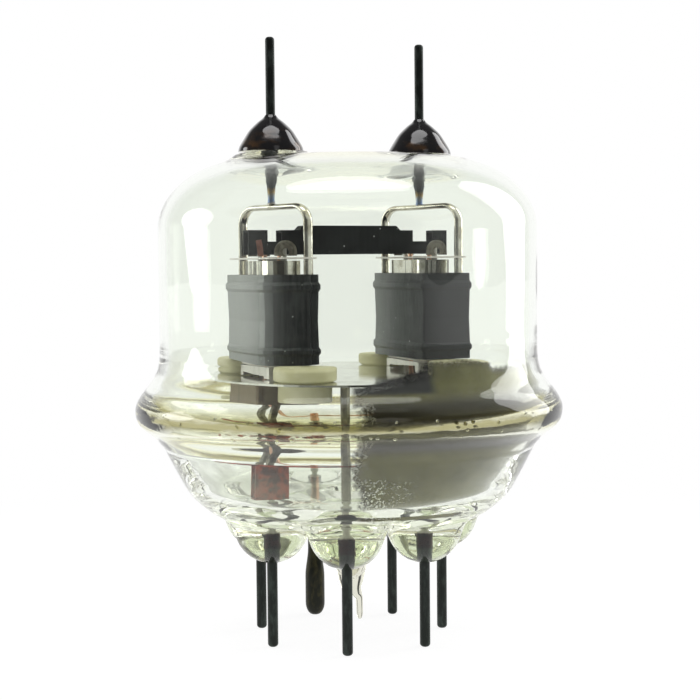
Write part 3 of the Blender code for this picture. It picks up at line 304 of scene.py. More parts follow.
@dataclass(frozen=True)
class BlownGlass(Finish):
    """Clear blown glass, olive where the seam was fused and faintly green elsewhere."""

    clear: Colour = (0.94, 0.966, 0.918)
    fused: Colour = (0.885, 0.87, 0.6)
    baked: Colour = (0.23, 0.2, 0.055)
    crown: Colour = (0.92, 0.89, 0.64)
    pressed: Colour = (0.79, 0.835, 0.67)
    seam: float = 30.5
    seam_reach: float = 2.3
    baked_reach: float = 0.8
    crown_low: float = 63.2
    floor: float = 18.5
    ior: float = 1.47
    rough: float = 0.0

    def paint(self, graph: Graph) -> None:
        """Builds the nodes."""
        height = graph.height()
        away = graph.math("ABSOLUTE", height - self.seam)
        cloud = graph.noise(0.14, 2.0, stretch=(1, 1, 2.5))
        fused = (away + cloud).smooth(self.seam_reach + 1.0, self.seam_reach - 1.0)
        tint = graph.mix(height.smooth(self.floor + 1.5, self.floor - 1.5), self.clear, self.pressed)
        tint = graph.mix(height.smooth(self.crown_low, self.crown_low + 0.8), tint, self.crown)
        streaks = graph.noise(0.35, 4.0, 0.6, stretch=(1, 1, 4.0))
        baked = (away + streaks * 1.2).smooth(self.baked_reach + 1.0, self.baked_reach)
        tint = graph.mix(fused, tint, graph.mix(baked, self.fused, self.baked))
        waves = graph.noise(0.11, 1.0, stretch=(1, 1, 0.6))
        ripples = graph.noise(0.5, 2.0, stretch=(1, 1, 2.0)) * fused
        graph.dress(
            base_color=tint,
            roughness=self.rough,
            transmission_weight=1.0,
            ior=self.ior,
            normal=graph.bump(waves + ripples * 0.12, 0.35, 0.25),
        )


@dataclass(frozen=True)
class GetterMirror(Finish):
    """The metallic film that the getter left on the glass, thin and speckled at its edges.

    Each edge is rows of (share of the film's height, degrees across the film), from the bottom up.
    The lobe and the painted dark reflection on the film's upper left are given in shares of the film's width
    and height.
    """

    thick: Colour = (0.095, 0.09, 0.022)
    warm: Colour = (0.14, 0.132, 0.045)
    thin: Colour = (0.035, 0.025, 0.01)
    pale: Colour = (0.23, 0.225, 0.11)
    seam: Colour = (0.02, 0.017, 0.004)
    # Colour of the painted dark reflection on the film's upper left.
    border: Colour = (0.006, 0.006, 0.005)
    span: float = 84.0
    left_low: Rows = ((0.0, 7.5), (0.15, 6.0), (0.3, 4.5), (0.5, 5.0), (0.78, 6.0))
    left_high: Rows = ((0.8, 24.5), (0.95, 25.7), (1.0, 28.0))
    right_low: Rows = ((0.0, 50.0), (0.06, 57.0), (0.145, 64.0), (0.36, 74.0), (0.62, 70.0))
    right_high: Rows = ((0.8, 59.0), (0.87, 54.0), (0.955, 48.0), (0.985, 40.5), (1.0, 38.0))
    top: float = 0.985
    lobe_left: float = 0.055
    lobe_low: float = 0.7
    lobe_top: float = 0.825
    reflection_low: float = 0.76
    border_right: float = 0.36

    def edge(self, graph: Graph, up: Signal, rows: Rows) -> Signal:
        """An edge's place across the film at each height, as a share of the film's width."""
        stops = [(share, 3 * (angle / self.span,)) for share, angle in rows]
        return graph.node("ShaderNodeValToRGB", {"stops": stops}, {0: up})

    def paint(self, graph: Graph) -> None:
        """Builds the nodes."""
        spot = graph.node("ShaderNodeUVMap")
        across, up = graph.part(spot, "X"), graph.part(spot, "Y")
        grain = graph.noise(1.6, 5.0, 0.7)
        broad = graph.noise(0.25, 3.0)
        ragged = (grain - 0.5) * 0.1 + (broad - 0.5) * 0.06
        from_left = across - self.edge(graph, up, self.left_low + self.left_high) + ragged
        from_right = self.edge(graph, up, self.right_low + self.right_high) - across + ragged
        from_top = self.top - up + ragged * 0.4
        inside = graph.math("MINIMUM", graph.math("MINIMUM", from_left, from_right), from_top)
        lobe_top = across.smooth(0.06, 0.3) * 0.1 + self.lobe_top - up + ragged * 0.5
        lobe = graph.math("MINIMUM", across - self.lobe_left, lobe_top)
        inside = graph.math("MAXIMUM", inside, graph.math("MINIMUM", lobe, up - self.lobe_low))
        cover = inside.smooth(-0.012, 0.02)
        edge = inside.smooth(0.07, 0.0)
        speckle = graph.noise(3.4, 4.0, 0.8).smooth(0.45, 0.55)
        frost = (from_left + ragged).smooth(0.3, 0.05) * up.smooth(0.34, 0.14) * graph.specks(3.0, 0.52)
        solid = cover * (1 - graph.math("MAXIMUM", edge * speckle * 0.3, frost * 0.72))
        colour = graph.mix(broad.smooth(0.3, 0.7), self.thick, self.warm)
        lower_right = (across * 0.8 - up * 1.4 + broad * 0.4).smooth(0.1, 0.75)
        colour = graph.mix(lower_right, colour, self.pale)
        colour = graph.mix(up.smooth(0.4, 0.52) * up.smooth(0.82, 0.7), colour, self.seam)
        colour = graph.mix(edge * 0.85, colour, self.thin)
        # Painted reflection: a black patch on the film's upper left stands in for the dark anode mirrored in
        # the shield disc.
        black = up.smooth(self.reflection_low, self.reflection_low + 0.03)
        black = black * across.smooth(self.border_right, self.border_right - 0.05)
        graph.dress(
            base_color=graph.mix(black, colour, self.border),
            alpha=graph.math("MAXIMUM", solid, black * cover * 0.94),
            metallic=0.65,
            specular_ior_level=0.25,
            roughness=grain * 0.2 + 0.36,
        )


@dataclass(frozen=True)
class Bloom(Finish):
    """A thin pale bloom on the bowl's inside, patchy and finely speckled."""

    pale: Colour = (0.4, 0.42, 0.29)
    low: float = 17.5
    high: float = 26.0
    most: float = 0.46

    def paint(self, graph: Graph) -> None:
        """Builds the nodes."""
        height = graph.height()
        patches = graph.noise(0.22, 3.0, 0.6)
        fine = graph.noise(4.0, 4.0, 0.8)
        cover = height.smooth(self.low, self.low + 2.5) * height.smooth(self.high, self.high - 3.0)
        veil = cover * (patches.smooth(0.25, 0.7) * 0.6 + fine * 0.4) * self.most
        graph.dress(base_color=self.pale, alpha=veil, roughness=0.9, specular_ior_level=0.0)


@dataclass(frozen=True)
class Oxide(Finish):
    """Dark oxidised pin wire, maroon where the glass is sealed to it, brighter above the seal."""

    dark: Colour = (0.012, 0.016, 0.013)
    wear_and_painted_sheen: Colour = (0.045, 0.058, 0.05)
    seal: Colour = (0.022, 0.008, 0.009)
    seal_dark: Colour = (0.008, 0.006, 0.008)
    bright: Colour = (0.42, 0.42, 0.34)
    seal_low: float = 13.9
    seal_high: float = 16.1
    top: float = 30.0

    def paint(self, graph: Graph) -> None:
        """Builds the nodes."""
        height = graph.height()
        mottle = graph.noise(1.2, 4.0, 0.65, stretch=(1, 1, 0.35))
        fine = graph.noise(7.0, 3.0, 0.6, stretch=(1, 1, 0.2))
        below_top = height.smooth(self.top + 1.0, self.top - 1.0)
        colour = graph.mix(mottle.smooth(0.42, 0.72), self.dark, self.wear_and_painted_sheen)
        seal = graph.mix(graph.noise(1.4, 2.0).smooth(0.4, 0.6), self.seal, self.seal_dark)
        in_seal = height.smooth(self.seal_low - 0.15, self.seal_low + 0.15)
        above = (height + mottle * 0.6).smooth(self.seal_high, self.seal_high + 0.5)
        colour = graph.mix(in_seal * below_top, colour, seal)
        graph.dress(
            base_color=graph.mix(above * below_top, colour, self.bright),
            metallic=0.6,
            roughness=mottle * 0.35 + 0.26,
            normal=graph.bump(fine + mottle, 0.25, 0.03),
        )


@dataclass(frozen=True)
class GlazedSeal(Finish):
    """The dark glossy dome of an anode seal, with brown oxide near its rim."""

    dark: Colour = (0.008, 0.007, 0.008)
    brown: Colour = (0.075, 0.036, 0.012)
    rim: float = 65.0

    def paint(self, graph: Graph) -> None:
        """Builds the nodes."""
        cloud = graph.noise(0.35, 3.0, 0.55, stretch=(1, 1, 1.6))
        patches = cloud.smooth(0.45, 0.66) * graph.height().smooth(self.rim + 3.0, self.rim)
        graph.dress(
            base_color=graph.mix(patches, self.dark, self.brown),
            metallic=0.35,
            roughness=graph.noise(2.4, 4.0) * 0.12 + 0.06,
            coat_weight=0.8,
            coat_roughness=0.04,
            normal=graph.bump(cloud, 0.12, 0.2),
        )


@dataclass(frozen=True)
class Mottled(Finish):
    """One colour with soft patches of another, over a fine grain.

    The cloud and the grain are a noise's scale, detail and roughness.
    """

    colour: Colour
    patch: Colour
    rough: float
    metallic: float = 0.0
    cloud: Triple = (0.5, 3.0, 0.5)
    patchy: Pair = (0.45, 0.75)
    grain: Triple = (6.0, 3.0, 0.6)
    lines: Triple = EVEN
    uneven: float = 0.16
    relief: float = 0.15
    depth: float = 0.02

    def paint(self, graph: Graph) -> None:
        """Builds the nodes."""
        cloud = graph.noise(*self.cloud)
        grain = graph.noise(*self.grain, self.lines)
        graph.dress(
            base_color=self.tone(graph, graph.mix(cloud.smooth(*self.patchy), self.colour, self.patch)),
            metallic=self.metallic,
            roughness=grain * self.uneven + self.rough,
            normal=graph.bump(grain, self.relief, self.depth),
        )

    def tone(self, graph: Graph, colour: Signal) -> Signal:
        """The last word on the colour, which a special finish changes."""
        return colour


@dataclass(frozen=True)
class Nickel(Mottled):
    """Drawn nickel with fine lines and faint tarnish."""

    metallic: float = 1.0
    lines: Triple = (1.0, 1.0, 0.15)


@dataclass(frozen=True)
class StripedNickel(Nickel):
    """Nickel with dark upright stripes painted into its colour: a painted reflection."""

    stripe: Colour = (0.05, 0.042, 0.025)
    stripes: float = 0.85

    def tone(self, graph: Graph, colour: Signal) -> Signal:
        """The nickel's colour with its painted reflection stripes."""
        bands = graph.noise(0.9, 2.0, 0.6, (1, 1, 0.01)).smooth(0.5, 0.56)
        return graph.mix(bands * self.stripes, colour, self.stripe)


@dataclass(frozen=True)
class Copper(Mottled):
    """Warm copper wire and ribbon with brown oxide."""

    rough: float = 0.25
    metallic: float = 0.8
    cloud: Triple = (0.9, 4.0, 0.6)
    patchy: Pair = (0.38, 0.64)
    grain: Triple = (6.0, 3.0, 0.5)
    uneven: float = 0.25
    relief: float = 0.2


@dataclass(frozen=True)
class Coating(Mottled):
    """White sprayed coating on cathodes and heaters."""

    rough: float = 0.7
    cloud: Triple = (5.0, 4.0, 0.7)
    patchy: Pair = (0.4, 0.6)
    grain: Triple = (5.0, 4.0, 0.7)
    uneven: float = 0.2
    relief: float = 0.3
    depth: float = 0.03


@dataclass(frozen=True)
class HeatedLead(Finish):
    """An anode lead: dark above, blue and straw heat colours where it is welded."""

    heat: tuple[tuple[float, Colour], ...] = (
        (0.0, (0.5, 0.42, 0.26)),
        (0.22, (0.09, 0.14, 0.27)),
        (0.42, (0.17, 0.2, 0.24)),
        (0.62, (0.22, 0.15, 0.05)),
        (0.85, (0.02, 0.024, 0.026)),
    )
    weld: float = 58.2
    tint_reach: float = 3.2

    def paint(self, graph: Graph) -> None:
        """Builds the nodes."""
        wander = graph.noise(0.8, 2.0)
        reach = (graph.height() + wander * 0.8 - self.weld) * (1.0 / self.tint_reach)
        graph.dress(
            base_color=graph.node("ShaderNodeValToRGB", {"stops": self.heat}, {0: reach}),
            metallic=0.85,
            roughness=wander * 0.2 + 0.22,
            normal=graph.bump(graph.noise(5.0, 3.0), 0.15, 0.02),
        )


@dataclass(frozen=True)
class CarbonSheet(Finish):
    """Carbonised sheet metal: matt grey with scuffs, faint upright streaks and bright specks.

    Where middle is set, the sheet is painted pale on its left as the camera sees it and painted dark on
    its right: a painted sheen and painted shade of light from the left. Middle is then the distance of
    each anode's middle from the tube's axis.
    """

    dark: Colour = (0.012, 0.014, 0.014)
    pale: Colour = (0.05, 0.054, 0.052)
    # The pale colour of the painted sheen on the left.
    wear_and_painted_sheen: Colour = (0.24, 0.25, 0.24)
    fleck: Colour = (0.4, 0.42, 0.4)
    rough: float = 0.36
    metallic: float = 0.85
    shine: float = 0.5
    middle: float = 9.9
    bias: float = 2.4

    def paint(self, graph: Graph) -> None:
        """Builds the nodes."""
        cloud = graph.noise(0.3, 4.0, 0.6)
        streaks = graph.noise(2.2, 3.0, 0.6, (1, 1, 0.12))
        grain = graph.noise(9.0, 3.0, 0.7)
        tone = cloud * 0.6 + streaks * 0.4
        colour = graph.mix(tone.smooth(0.35, 0.68), self.dark, self.pale)
        # Painted sheen on the left half and painted shade on the right half of each anode.
        if self.middle:
            beside = graph.vector("DOT_PRODUCT", "Value", graph.place(), in_photo_frame(1.0, 0.0, 0.0))
            across = beside - graph.math("SIGN", beside) * (self.middle - self.bias) + (cloud - 0.5) * 3.0
            colour = graph.mix(across.smooth(0.6, -7.2), colour, self.wear_and_painted_sheen)
            colour = graph.mix(across.smooth(1.0, 4.5), colour, self.dark)
        graph.dress(
            base_color=graph.mix(graph.specks(0.9, 0.11) * cloud.smooth(0.5, 0.6), colour, self.fleck),
            metallic=self.metallic,
            specular_ior_level=self.shine,
            roughness=grain * 0.2 + self.rough,
            normal=graph.bump(grain + cloud, 0.22, 0.03),
        )


@dataclass(frozen=True)
class Mica(Finish):
    """Thin mica: smoky, layered and partly clear."""

    pale: Colour = (0.14, 0.13, 0.098)
    smoky: Colour = (0.05, 0.046, 0.034)

    def paint(self, graph: Graph) -> None:
        """Builds the nodes."""
        layers = graph.noise(0.5, 5.0, 0.65, (1, 0.4, 3.0))
        flakes = graph.noise(2.5, 2.0)
        graph.dress(
            base_color=graph.mix(layers.smooth(0.35, 0.65), self.pale, self.smoky),
            alpha=layers * 0.25 + 0.72,
            roughness=flakes * 0.2 + 0.3,
            specular_ior_level=0.0,
            normal=graph.bump(flakes, 0.2, 0.02),
        )


@dataclass(frozen=True)
class LugSheet(Finish):
    """A smoky lug with dark rings of stain round its hole."""

    smoky: Colour = (0.16, 0.15, 0.11)
    brown: Colour = (0.085, 0.076, 0.052)
    stain: Colour = (0.012, 0.011, 0.009)
    across: float = 10.8
    height: float = 51.6

    def paint(self, graph: Graph) -> None:
        """Builds the nodes."""
        spot = graph.place()
        beside = graph.math("ABSOLUTE", graph.part(spot, "X")) - self.across
        above = graph.part(spot, "Z") - self.height
        reach = graph.math("SQRT", beside * beside + above * above)
        cloud = graph.noise(0.9, 4.0, 0.6)
        rings = graph.math("SINE", reach * 5.2 + cloud * 3.0).smooth(0.0, 0.9)
        colour = graph.mix(cloud.smooth(0.4, 0.62), self.smoky, self.brown)
        graph.dress(
            base_color=graph.mix(rings * reach.smooth(1.3, 0.8), colour, self.stain),
            metallic=0.2,
            roughness=cloud * 0.3 + 0.2,
            normal=graph.bump(cloud, 0.2, 0.03),
        )


TIP_TINT = (0.78, 0.77, 0.66)
GLASS = BlownGlass("blown glass", "clear_glass")
TIP_GLASS = BlownGlass("drawn tip glass", "clear_glass", clear=TIP_TINT, pressed=TIP_TINT, rough=0.06)
MIRROR = GetterMirror("getter mirror", "clear_glass")
BLOOM = Bloom("bowl bloom", "clear_glass")
OXIDE = Oxide("oxidised pin", "oxidised_pin")
OLIVE = Oxide("olive pin", "oxidised_pin", (0.012, 0.013, 0.007), (0.055, 0.05, 0.02), (0.012, 0.012, 0.008))
SEAL = GlazedSeal("glazed seal", "dark_cap")
NICKEL = Nickel("drawn nickel", "bright_nickel", (0.6, 0.58, 0.52), (0.34, 0.31, 0.25), 0.05)
BEAM = StripedNickel("beam plate", "bright_nickel", (0.66, 0.65, 0.58), (0.4, 0.38, 0.3), 0.14)
WIRE = Nickel("lead wire", "bright_nickel", (0.24, 0.23, 0.18), (0.1, 0.09, 0.07), 0.3)
DISC = Nickel("shield sheet", "bright_nickel", (0.76, 0.76, 0.71), (0.54, 0.53, 0.46), 0.06, lines=EVEN)
# The skirt is nickel darkened to brown: painted shade.
SKIRT = Nickel("skirt sheet", "bright_nickel", (0.2, 0.165, 0.12), (0.1, 0.08, 0.055), 0.34, lines=EVEN)
FOOT = Nickel("matt nickel", "bright_nickel", (0.52, 0.51, 0.47), (0.36, 0.34, 0.3), 0.34, lines=EVEN)
LUG = LugSheet("lug sheet", "bright_nickel")
LEAD = HeatedLead("heated lead", "oxidised_pin")
CARBON = CarbonSheet("carbonised sheet", "carbonised_sheet")
BLACK = CarbonSheet(
    "black shield",
    "black_shield",
    (0.006, 0.007, 0.007),
    (0.015, 0.018, 0.017),
    rough=0.5,
    metallic=0.0,
    shine=0.12,
    middle=0.0,
)
MICA = Mica("mica", "mica")
CERAMIC = Mottled(
    "cream ceramic",
    "cream_ceramic",
    (0.63, 0.61, 0.345),
    (0.72, 0.7, 0.45),
    0.38,
    cloud=(0.4, 3.0, 0.5),
    patchy=(0.35, 0.65),
    grain=(6.0, 4.0, 0.7),
    uneven=0.25,
    relief=0.18,
)
COPPER = Copper("copper", "copper", (0.52, 0.23, 0.14), (0.2, 0.075, 0.04))
DUSTY_COPPER = Copper("dusty copper", "copper", (0.3, 0.145, 0.11), (0.17, 0.075, 0.055))
BAKED_COPPER = Copper("baked copper", "copper", (0.36, 0.06, 0.022), (0.06, 0.014, 0.008))
CATHODE_COAT = Coating("cathode coating", "cathode_coating", (0.78, 0.77, 0.72), (0.624, 0.616, 0.576))
HEATER_COAT = Coating("heater coating", "heater_coating", (0.82, 0.82, 0.8), (0.656, 0.656, 0.64))


# Mesh tools


def smooth_line(points: Iterable[Sequence[float]], steps: int) -> np.ndarray:
    """A smooth curve through points of any dimension.

    Args:
        points: The points that the curve goes through.
        steps: Parts between each two of them.

    Returns:
        The curve's points, one row each.
    """
    given = np.array([tuple(point) for point in points], dtype=float)
    through = np.vstack((2 * given[0] - given[1], given, 2 * given[-1] - given[-2]))
    curve = []
    for before, start, end, after in zip(through, through[1:], through[2:], through[3:]):
        for t in np.arange(steps) / steps:
            bend = 2 * before - 5 * start + 4 * end - after
            twist = 3 * start - before - 3 * end + after
            curve.append(0.5 * (2 * start + (end - before) * t + bend * t**2 + twist * t**3))
    return np.vstack((*curve, given[-1]))


def ring(radius: float, count: int, centre: Sequence[float] = (0.0, 0.0)) -> np.ndarray:
    """Points round a circle in plan, one row each."""
    turn = math.tau * np.arange(count) / count
    return np.column_stack((centre[0] + radius * np.cos(turn), centre[1] + radius * np.sin(turn)))


def nearest(points: np.ndarray, others: np.ndarray) -> np.ndarray:
    """Distance in plan from each point to the nearest of some others."""
    return np.min(np.hypot(*(points[:, None] - others[None]).transpose(2, 0, 1)), axis=1)


def corner(radius: float, height: float, edge: float, below: bool = False, steps: int = 6) -> Profile:
    """A quarter round in place of an outer corner.

    Args:
        radius: The corner's radius from the axis.
        height: The corner's height.
        edge: The round's own radius.
        below: Whether the round runs out from the bottom, and not in to the top.
        steps: Parts along the round.

    Returns:
        (radius, height) points from the lower end up.
    """
    first = -90 if below else 0
    across, up = radius - edge, height + (edge if below else -edge)
    turns = [math.radians(first + 90 * i / steps) for i in range(steps + 1)]
    return [(across + edge * math.cos(turn), up + edge * math.sin(turn)) for turn in turns]


def ease(share: float | np.ndarray) -> float | np.ndarray:
    """A share, kept between 0 and 1, that starts and ends gently."""
    share = np.clip(share, 0, 1)
    return share**2 * (3 - 2 * share)


def soft_lower(first: np.ndarray | float, second: np.ndarray, blend: float) -> np.ndarray:
    """The lower of two levels with a round where they meet, or the higher where blend is negative.

    Args:
        first: One level.
        second: The other.
        blend: How far apart the levels are where the round starts.

    Returns:
        The joined level.
    """
    share = np.clip(0.5 + 0.5 * (first - second) / blend, 0, 1)
    return first + (second - first) * share - blend * share * (1 - share)


def pin_places() -> Profile:
    """The seven pins in plan, the index pin first."""
    turns = [math.pi + i * math.tau / 7 for i in range(7)]
    return [(PIN_CIRCLE * math.sin(turn), -PIN_CIRCLE * math.cos(turn)) for turn in turns]


class Skin:
    """A mesh in the making: points and faces that are joined where they meet."""

    def __init__(self) -> None:
        """Starts an empty mesh."""
        self.bm = bmesh.new()

    def loops(self, rings: Sequence[np.ndarray], closed: bool = False, caps: Caps = Caps.NONE) -> Skin:
        """Joins equal rings of 3-D points in order.

        Args:
            rings: The rings, each with the same number of points.
            closed: Whether the last ring joins the first.
            caps: Which end rings are filled.

        Returns:
            This mesh.
        """
        made = [[self.bm.verts.new(point) for point in points] for points in rings]
        pairs = list(zip(made, made[1:])) + ([(made[-1], made[0])] if closed else [])
        for low, high in pairs:
            for i, start in enumerate(low):
                j = (i + 1) % len(low)
                self.bm.faces.new((start, low[j], high[j], high[i]))
        if caps is Caps.BOTH:
            self.bm.faces.new(made[0])
        if caps is not Caps.NONE:
            self.bm.faces.new(made[-1])
        return self

    def turn(
        self,
        profile: Iterable[Sequence[float]],
        count: int,
        centre: Sequence[float] = (0.0, 0.0),
        closed: bool = False,
    ) -> Skin:
        """Turns (radius, height) points about an upright axis.

        Args:
            profile: The points. A radius of 0 closes the surface there.
            count: Points round the axis.
            centre: The axis in plan.
            closed: Whether the last point joins the first.

        Returns:
            This mesh.
        """
        rings = [
            np.column_stack((ring(max(radius, SMALLEST), count, centre), np.full(count, height)))
            for radius, height in profile
        ]
        return self.loops(rings, closed)

    def relief(
        self,
        edge: float,
        edge_count: int,
        hole: float,
        hole_count: int,
        centres: Sequence[Sequence[float]],
        pads: Sequence[float],
        height: Height,
        spacing: float,
    ) -> Skin:
        """A disc of fine triangles that follows a height in plan, with rings round each feature.

        Args:
            edge: The disc's radius.
            edge_count: Points round its edge.
            hole: Radius of the hole in its middle, or 0.
            hole_count: Points round the hole.
            centres: The features' places in plan.
            pads: Radii of the rings round each feature, in millimetres.
            height: Gives heights for arrays of x and y.
            spacing: Distance between points elsewhere.

        Returns:
            This mesh.
        """
        middles = np.array(centres)
        pad_radii = [pad * MM for pad in pads]
        points = [ring(edge, edge_count)]
        if hole:
            points.append(ring(hole, hole_count))
        room, margin = 0.5 * spacing, 0.4 * spacing
        radius = edge - spacing
        while radius > hole + room:
            circle = ring(radius, max(12, round(math.tau * radius / spacing)))
            points.append(circle[nearest(circle, middles) > pad_radii[-1] + room])
            radius -= spacing
        for i, middle in enumerate(middles):
            others = np.delete(middles, i, axis=0)
            points.append(middle[None])
            for pad in pad_radii:
                circle = ring(pad, max(10, round(math.tau * pad / spacing * 1.2)), middle)
                within = np.hypot(*circle.T)
                clear = (within < edge - margin) & (within > hole + margin)
                points.append(circle[clear & (nearest(circle, others) > pad)])
        flat = np.vstack(points) / MM
        corners, _, faces, *_ = delaunay_2d_cdt([Vector(point) for point in flat], [], [], 0, 1e-5)
        plan = np.array([tuple(spot) for spot in corners]) * MM
        heights = height(plan[:, 0], plan[:, 1])
        verts = [self.bm.verts.new((*spot, z)) for spot, z in zip(plan, heights)]
        for face in faces:
            if np.hypot(*plan[list(face)].mean(axis=0)) > hole:
                self.bm.faces.new([verts[i] for i in face])
        return self

    def tidy(self, flip: bool = False) -> Skin:
        """Joins points that meet and turns the faces outwards, or inwards with flip."""
        bmesh.ops.remove_doubles(self.bm, verts=self.bm.verts, dist=MERGE)
        bmesh.ops.dissolve_degenerate(self.bm, dist=MERGE / 2, edges=self.bm.edges)
        bmesh.ops.recalc_face_normals(self.bm, faces=self.bm.faces)
        if flip:
            bmesh.ops.reverse_faces(self.bm, faces=self.bm.faces)
        return self

    def mesh(self, name: str) -> bpy.types.Mesh:
        """Turns this into one of Blender's meshes, which ends its making."""
        mesh = bpy.data.meshes.new(name)
        self.bm.to_mesh(mesh)
        self.bm.free()
        return mesh

    def take(self, other: Skin) -> Skin:
        """Adds another mesh's faces as they are."""
        mesh = other.mesh("taken")
        self.bm.from_mesh(mesh)
        bpy.data.meshes.remove(mesh)
        return self

    def piece(self, name: str, finish: Finish, sharp: float = 40.0) -> bpy.types.Object:
        """Turns the mesh into a dressed piece that rides on the tube.

        Args:
            name: The piece's name.
            finish: What it is dressed in.
            sharp: Angle in degrees from which an edge looks sharp.

        Returns:
            The new object.
        """
        mesh = self.mesh(name)
        mesh.shade_smooth()
        mesh.set_sharp_from_angle(angle=math.radians(sharp))
        mesh.materials.append(finish.material())
        obj = bpy.data.objects.new(name, mesh)
        bpy.context.scene.collection.objects.link(obj)
        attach(obj, ROOT)
        LOG.info("%s: %d faces", name, len(mesh.polygons))
        return obj


def sweep(path: np.ndarray, section: np.ndarray, side: Sequence[float] = (0.0, 1.0, 0.0)) -> list[np.ndarray]:
    """Carries a flat section along a path.

    Args:
        path: The path's points.
        section: The section's points as (across, through).
        side: The direction that the section's first axis starts in.

    Returns:
        A ring of points at each point of the path.
    """
    tangents = np.gradient(path, axis=0)
    tangents /= np.linalg.norm(tangents, axis=1)[:, None]
    across = np.array(side, dtype=float)
    rings = []
    for point, tangent in zip(path, tangents):
        across = across - tangent * across.dot(tangent)
        across /= np.linalg.norm(across)
        through = np.cross(tangent, across)
        rings.append(point + section[:, :1] * across + section[:, 1:] * through)
    return rings


def in_photo_frame(across: float, away: float, height: float) -> Vector:
    """A place given as seen from the camera, turned into the row's frame."""
    return Matrix.Rotation(PHOTO_TURN, 3, "Z") @ Vector((across, away, height))


# The glass


@dataclass(frozen=True)
class Bubbles:
    """Tiny voids in the fused seam, mostly at the front. Pairs of lengths are ranges in millimetres."""

    count: int = 42
    seed: int = 7
    turn: Row = (0.12, 0.55)
    reach: Row = (26.3, 27.6)
    size: Row = (0.07, 0.2)
    height: Row = (29.0, 31.3)
    shape: Triple = (1.6, 1.6, 0.8)

    def skin(self) -> Skin:
        """The voids' surfaces, which face in."""
        skin = Skin()
        dice = np.random.default_rng(self.seed)
        for _ in range(self.count):
            turn = PHOTO_TURN + dice.normal(*self.turn)
            reach = dice.uniform(*self.reach) * MM
            size = dice.uniform(*self.size) * MM
            height = dice.uniform(*self.height) * MM
            made = bmesh.ops.create_icosphere(skin.bm, subdivisions=2, radius=size)
            spot = (reach * math.sin(turn), -reach * math.cos(turn), height)
            bmesh.ops.scale(skin.bm, vec=self.shape, verts=made["verts"])
            bmesh.ops.translate(skin.bm, vec=spot, verts=made["verts"])
        bmesh.ops.reverse_faces(skin.bm, faces=skin.bm.faces)
        return skin


